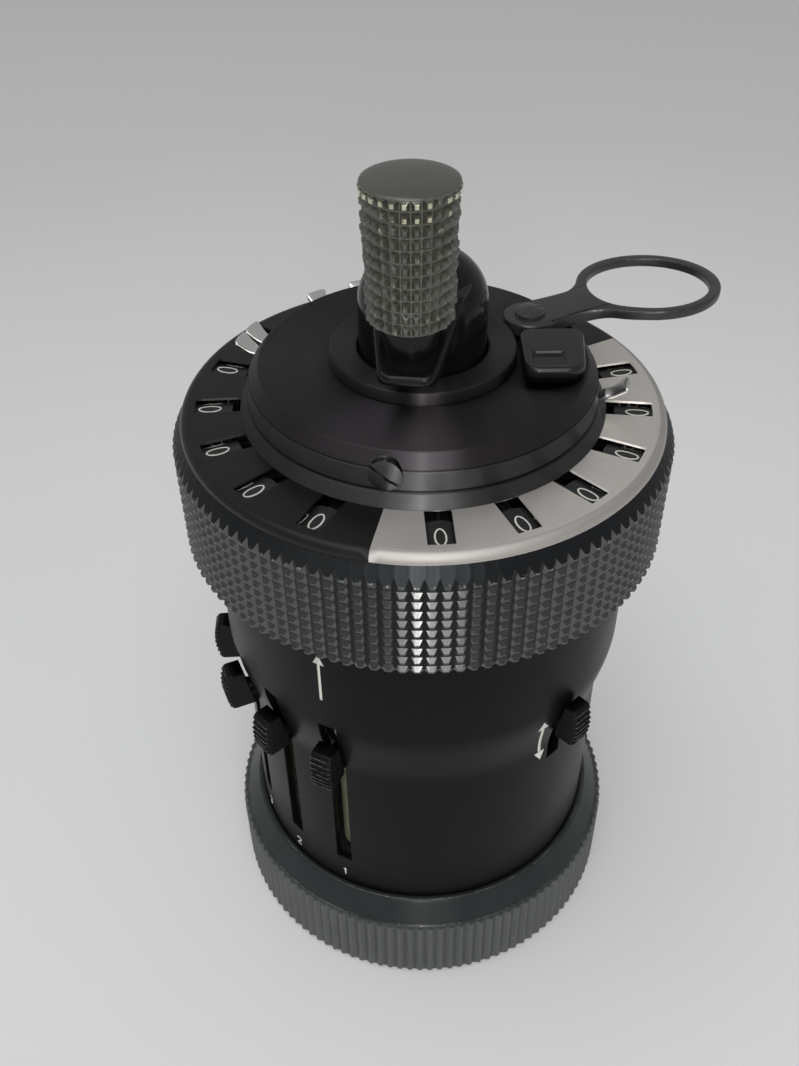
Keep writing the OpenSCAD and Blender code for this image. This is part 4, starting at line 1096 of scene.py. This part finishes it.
numeralStrokes = {
    0: [loop((0, 0), 0.5, 0.5)],
    1: [path((-0.25, 0.28), (0.05, 0.5), (0.05, -0.5))],
    2: [chain(arc((0, 0.22), 0.46, 0.28, 165, -35), path((-0.48, -0.5), (0.5, -0.5)))],
    3: [chain(arc((0, 0.25), 0.42, 0.25, 150, -80), arc((0, -0.24), 0.48, 0.26, 80, -150))],
    4: [path((0.24, -0.5), (0.24, 0.5), (-0.5, -0.2), (0.5, -0.2))],
    5: [chain(path((0.42, 0.5), (-0.36, 0.5), (-0.42, 0.06)), arc((0, -0.18), 0.48, 0.32, 130, -150))],
    6: [loop((0, -0.2), 0.48, 0.3), arc((0.5, -0.2), 0.98, 0.7, 180, 105)],
    7: [path((-0.5, 0.5), (0.5, 0.5), (-0.12, -0.5))],
    8: [loop((0, 0.25), 0.4, 0.25), loop((0, -0.25), 0.48, 0.25)],
    9: [loop((0, 0.2), 0.48, 0.3), arc((-0.5, 0.2), 0.98, 0.7, 0, -75)],
}


# a stroke as a thin bar: left and right of its line, below and above the surface; columns are x, y, height
def strokeBar(points, closed, width, thick):
    step = np.roll(points, -1, 0) - np.roll(points, 1, 0) if closed else np.gradient(points, axis=0)
    step = step / np.linalg.norm(step, axis=1, keepdims=True)
    normal = np.stack([-step[:, 1], step[:, 0]], -1) * width / 2
    left, right = points + normal, points - normal
    rows = np.stack([np.insert(line, 2, h, axis=1) for line, h in
                     ((right, -thick), (right, thick), (left, thick), (left, -thick))], 1)
    if closed:
        return Shape(rows, gridQuads(len(points), 4, True)[:, ::-1])
    shape = swept(rows)
    shape.faces = [face[::-1] for face in shape.faces]
    return shape


# one numeral of a size in millimetres
def numeralShape(digit, width, height, stroke, thick=0.02):
    shapes = [strokeBar(points * [width, height], closed, stroke, thick) for points, closed in numeralStrokes[digit]]
    return sum(shapes[1:], shapes[0])


stepDeg = 36.0
numerals = {"dialW": 1.05, "dialH": 2.3, "dialStroke": 0.17, "dialAt": 22.35, "dialR": 3.1,
            "drumW": 1.0, "drumH": 2.4, "drumStroke": 0.18, "drumR": 2.9, "drumZ": 41.35, "drumTurn": -6.0,
            "placeW": 0.75, "placeH": 1.3, "placeStroke": 0.2, "placeZ": 15.2}


# the ten numerals of a dial or a drum; wrap takes a digit and its x, y and height to the round surface
def tenNumerals(kind, wrap):
    shapes = []
    for digit in range(10):
        shape = numeralShape(digit, *(numerals[kind + size] for size in ("W", "H", "Stroke")))
        shape.points = wrap(digit, *shape.points.T)
        shapes.append(shape)
    return sum(shapes[1:], shapes[0])


# round a dial's rim: x runs round it, y along the axis towards the middle
def makeDialNumerals():
    for kind, degs in (("result", resultDegs), ("counter", counterDegs)):
        for i, deg in enumerate(degs, 1):
            out, side = around(deg, 1.0, 0.0), around(deg + 90, 1.0, 0.0)
            middle = np.array([0, 0, joints[f"{kind}_dial_{i}_turn"]["pos_m"][2] / mm])

            def wrap(digit, x, y, h):
                phi = np.radians(stepDeg * digit) + x / numerals["dialR"]
                rim = np.sin(phi)[:, None] * side + np.cos(phi)[:, None] * [0, 0, 1]
                return middle + (numerals["dialR"] + h)[:, None] * rim + (numerals["dialAt"] - y)[:, None] * out

            addPiece(f"{kind}_numerals_{i}", tenNumerals("dial", wrap), f"{kind}_dial_{i}",
                     paints["white"])


# round a setting shaft's drum: x runs round it, y up
def makeDrumNumerals():
    for i, deg in enumerate(slideDegs, 1):
        spot = np.append(np.array(joints[f"shaft_{i}_turn"]["pos_m"][:2]) / mm, 0)

        def wrap(digit, x, y, h):
            phi = numerals["drumTurn"] + np.degrees(x / numerals["drumR"]) - stepDeg * digit
            return spot + around(deg + phi, numerals["drumR"] + h, numerals["drumZ"] + y)

        addPiece(f"drum_numerals_{i}", tenNumerals("drum", wrap), f"shaft_{i}", paints["white"])


# lays a flat shape on the housing's wall at an angle and a height
def onHousing(shape, deg, z):
    x, y, h = shape.points.T
    r = housingRadius(z + y) + h
    shape.points = around(deg + np.degrees(x / r), r, z + y)
    return shape


arrows = {"upDeg": -28.0, "upLow": 49.0, "upHigh": 55.8, "head": 1.35, "shaft": 0.32, "pairDeg": 35.6, "pairLow": 34.5,
          "pairHigh": 43.2, "pairHead": 1.5, "pairShaft": 0.42, "pairSlant": -0.15, "thick": 0.02}


# an arrow from low to high: a shaft and a three-cornered head at each wanted end
def arrowShape(low, high, head, shaft, both):
    t = np.linspace(low + (head if both else 0), high - head * 0.9, 14)
    shape = strokeBar(np.stack([np.zeros(14), t], -1), False, shaft, arrows["thick"])
    for tip, sign in ((high, 1), (low, -1)) if both else ((high, 1),):
        corners = np.array([[-head / 2, tip - sign * head], [head / 2, tip - sign * head], [0, tip]])
        corners = corners if sign > 0 else corners[::-1]
        shape += plate(corners, -arrows["thick"], arrows["thick"])
    return shape


def makeHousingMarks():
    up = arrowShape(arrows["upLow"], arrows["upHigh"], arrows["head"], arrows["shaft"], False)
    addPiece("carriage_arrow", onHousing(up, arrows["upDeg"], 0.0), "frame", paints["white"])
    pair = arrowShape(arrows["pairLow"], arrows["pairHigh"], arrows["pairHead"], arrows["pairShaft"], True)
    middle = (arrows["pairLow"] + arrows["pairHigh"]) / 2
    pair.points[:, 0] += arrows["pairSlant"] * (pair.points[:, 1] - middle)
    addPiece("reversing_arrow", onHousing(pair, arrows["pairDeg"], 0.0), "frame", paints["white"])
    for i, deg in enumerate(slideDegs, 1):
        shape = numeralShape(i, numerals["placeW"], numerals["placeH"], numerals["placeStroke"])
        shape = onHousing(shape, deg, numerals["placeZ"])
        addPiece(f"place_numeral_{i}", shape, "frame", paints["white"])


makeDialNumerals()
makeDrumNumerals()
makeHousingMarks()
print("numerals made")


# the pieces that keep their own solids
dress(paints["steel"], "lower_plate", "upper_plate", "transmission_shafts", "main_shaft", "dial_carrier")
dress(paints["brass"], "step_drum", "carry_bell")
dress(paints["dial"], *[name for name in nodes if name.startswith(("result_dial_", "counter_dial_"))])
settingPaint = settingBrass("setting_brass", lowest("setting_slider_1") + slide["knobDrop"] + slide["stemH"] + 0.2)
dress(settingPaint, *[name for name in nodes if name.startswith("setting_shaft_")])
print("solids dressed")


# a window and a narrow lamp in front and soft light from overhead: angle from the front, elevation, distance, width and
# height in metres, power, colour
lights = {
    "window": (2, 23, 0.75, 0.34, 0.48, 1.1, (1.0, 0.995, 0.98)),
    "lamp": (-1.5, 23, 0.7, 0.03, 0.42, 0.6, (1.0, 0.99, 0.95)),
    "sky": (0, 60, 1.0, 0.6, 0.4, 2.3, (0.98, 0.99, 1.0)),
    "ceiling": (-70, 72, 1.1, 0.9, 0.9, 2.3, (0.98, 0.99, 1.0)),
}


# pale floor with painted shade that darkens it away from the middle, the lights and an even pale surround
def makeStage():
    floor = Paint("pale_floor", Roughness=0.75)
    # painted shade: the floor darkens with distance from the middle, standing in for the light falling off, plus a
    # little random unevenness
    tone = floor.noise(60.0, 2.0) * 0.2 + floor.radius.ramp(0.06, 0.3)
    floor.give(Base_Color=floor.mix(tone, (0.86, 0.865, 0.86, 1), (0.70, 0.70, 0.695, 1)))
    half = 3.0
    mesh = bpy.data.meshes.new("floor")
    mesh.from_pydata([(-half, -half, 0), (half, -half, 0), (half, half, 0), (-half, half, 0)], [], [(0, 1, 2, 3)])
    mesh.materials.append(floor.material)
    plane = bpy.data.objects.new("floor", mesh)
    scene.collection.objects.link(plane)

    # an area light that looks at the middle of the object
    def softBox(name, deg, elevation, distance, wide, high, power, colour):
        lamp = bpy.data.lights.new(name, "AREA")
        lamp.shape, lamp.size, lamp.size_y, lamp.energy, lamp.color = "RECTANGLE", wide, high, power, colour
        obj = bpy.data.objects.new(name, lamp)
        e = math.radians(elevation)
        aim = Vector((0, 0, 0.06))
        spot = aim + Vector(around(deg, distance * math.cos(e), distance * math.sin(e)).tolist())
        obj.matrix_world = Matrix.Translation(spot) @ (aim - spot).to_track_quat("-Z", "Y").to_matrix().to_4x4()
        scene.collection.objects.link(obj)

    for name, light in lights.items():
        softBox(name, *light)
    world = bpy.data.worlds.new("surround")
    scene.world = world
    world.use_nodes = True
    world.node_tree.nodes["Background"].inputs["Color"].default_value = (0.62, 0.625, 0.63, 1)
    world.node_tree.nodes["Background"].inputs["Strength"].default_value = 0.56


# the photograph's camera: focal length in pixels of the 799 x 1066 frame, place in millimetres, angles in degrees
view = {"focal": 1083.478, "frameHigh": 1066, "place": (-2.152, -96.456, 135.939), "pitch": 40.24, "yaw": -0.29,
        "roll": -0.84}


def makeCamera():
    camera = bpy.data.cameras.new("camera")
    camera.sensor_width = 36.0
    camera.lens = view["focal"] / view["frameHigh"] * camera.sensor_width
    camera.clip_start, camera.clip_end = 0.005, 20.0
    obj = bpy.data.objects.new("camera", camera)
    pitch, yaw, roll = (math.radians(view[key]) for key in ("pitch", "yaw", "roll"))
    ahead = np.array([math.sin(yaw) * math.cos(pitch), math.cos(yaw) * math.cos(pitch), -math.sin(pitch)])
    right = np.cross(ahead, [0, 0, 1])
    right /= np.linalg.norm(right)
    up = np.cross(right, ahead)
    x = math.cos(roll) * right + math.sin(roll) * up
    y = math.cos(roll) * up - math.sin(roll) * right
    turn = Matrix(np.stack([x, y, -ahead], 1).tolist()).to_4x4()
    obj.matrix_world = Matrix.Translation(Vector(view["place"]) * mm) @ turn
    scene.collection.objects.link(obj)
    scene.camera = obj


makeStage()
makeCamera()
scene.view_settings.view_transform = "Standard"
print("stage and camera set")
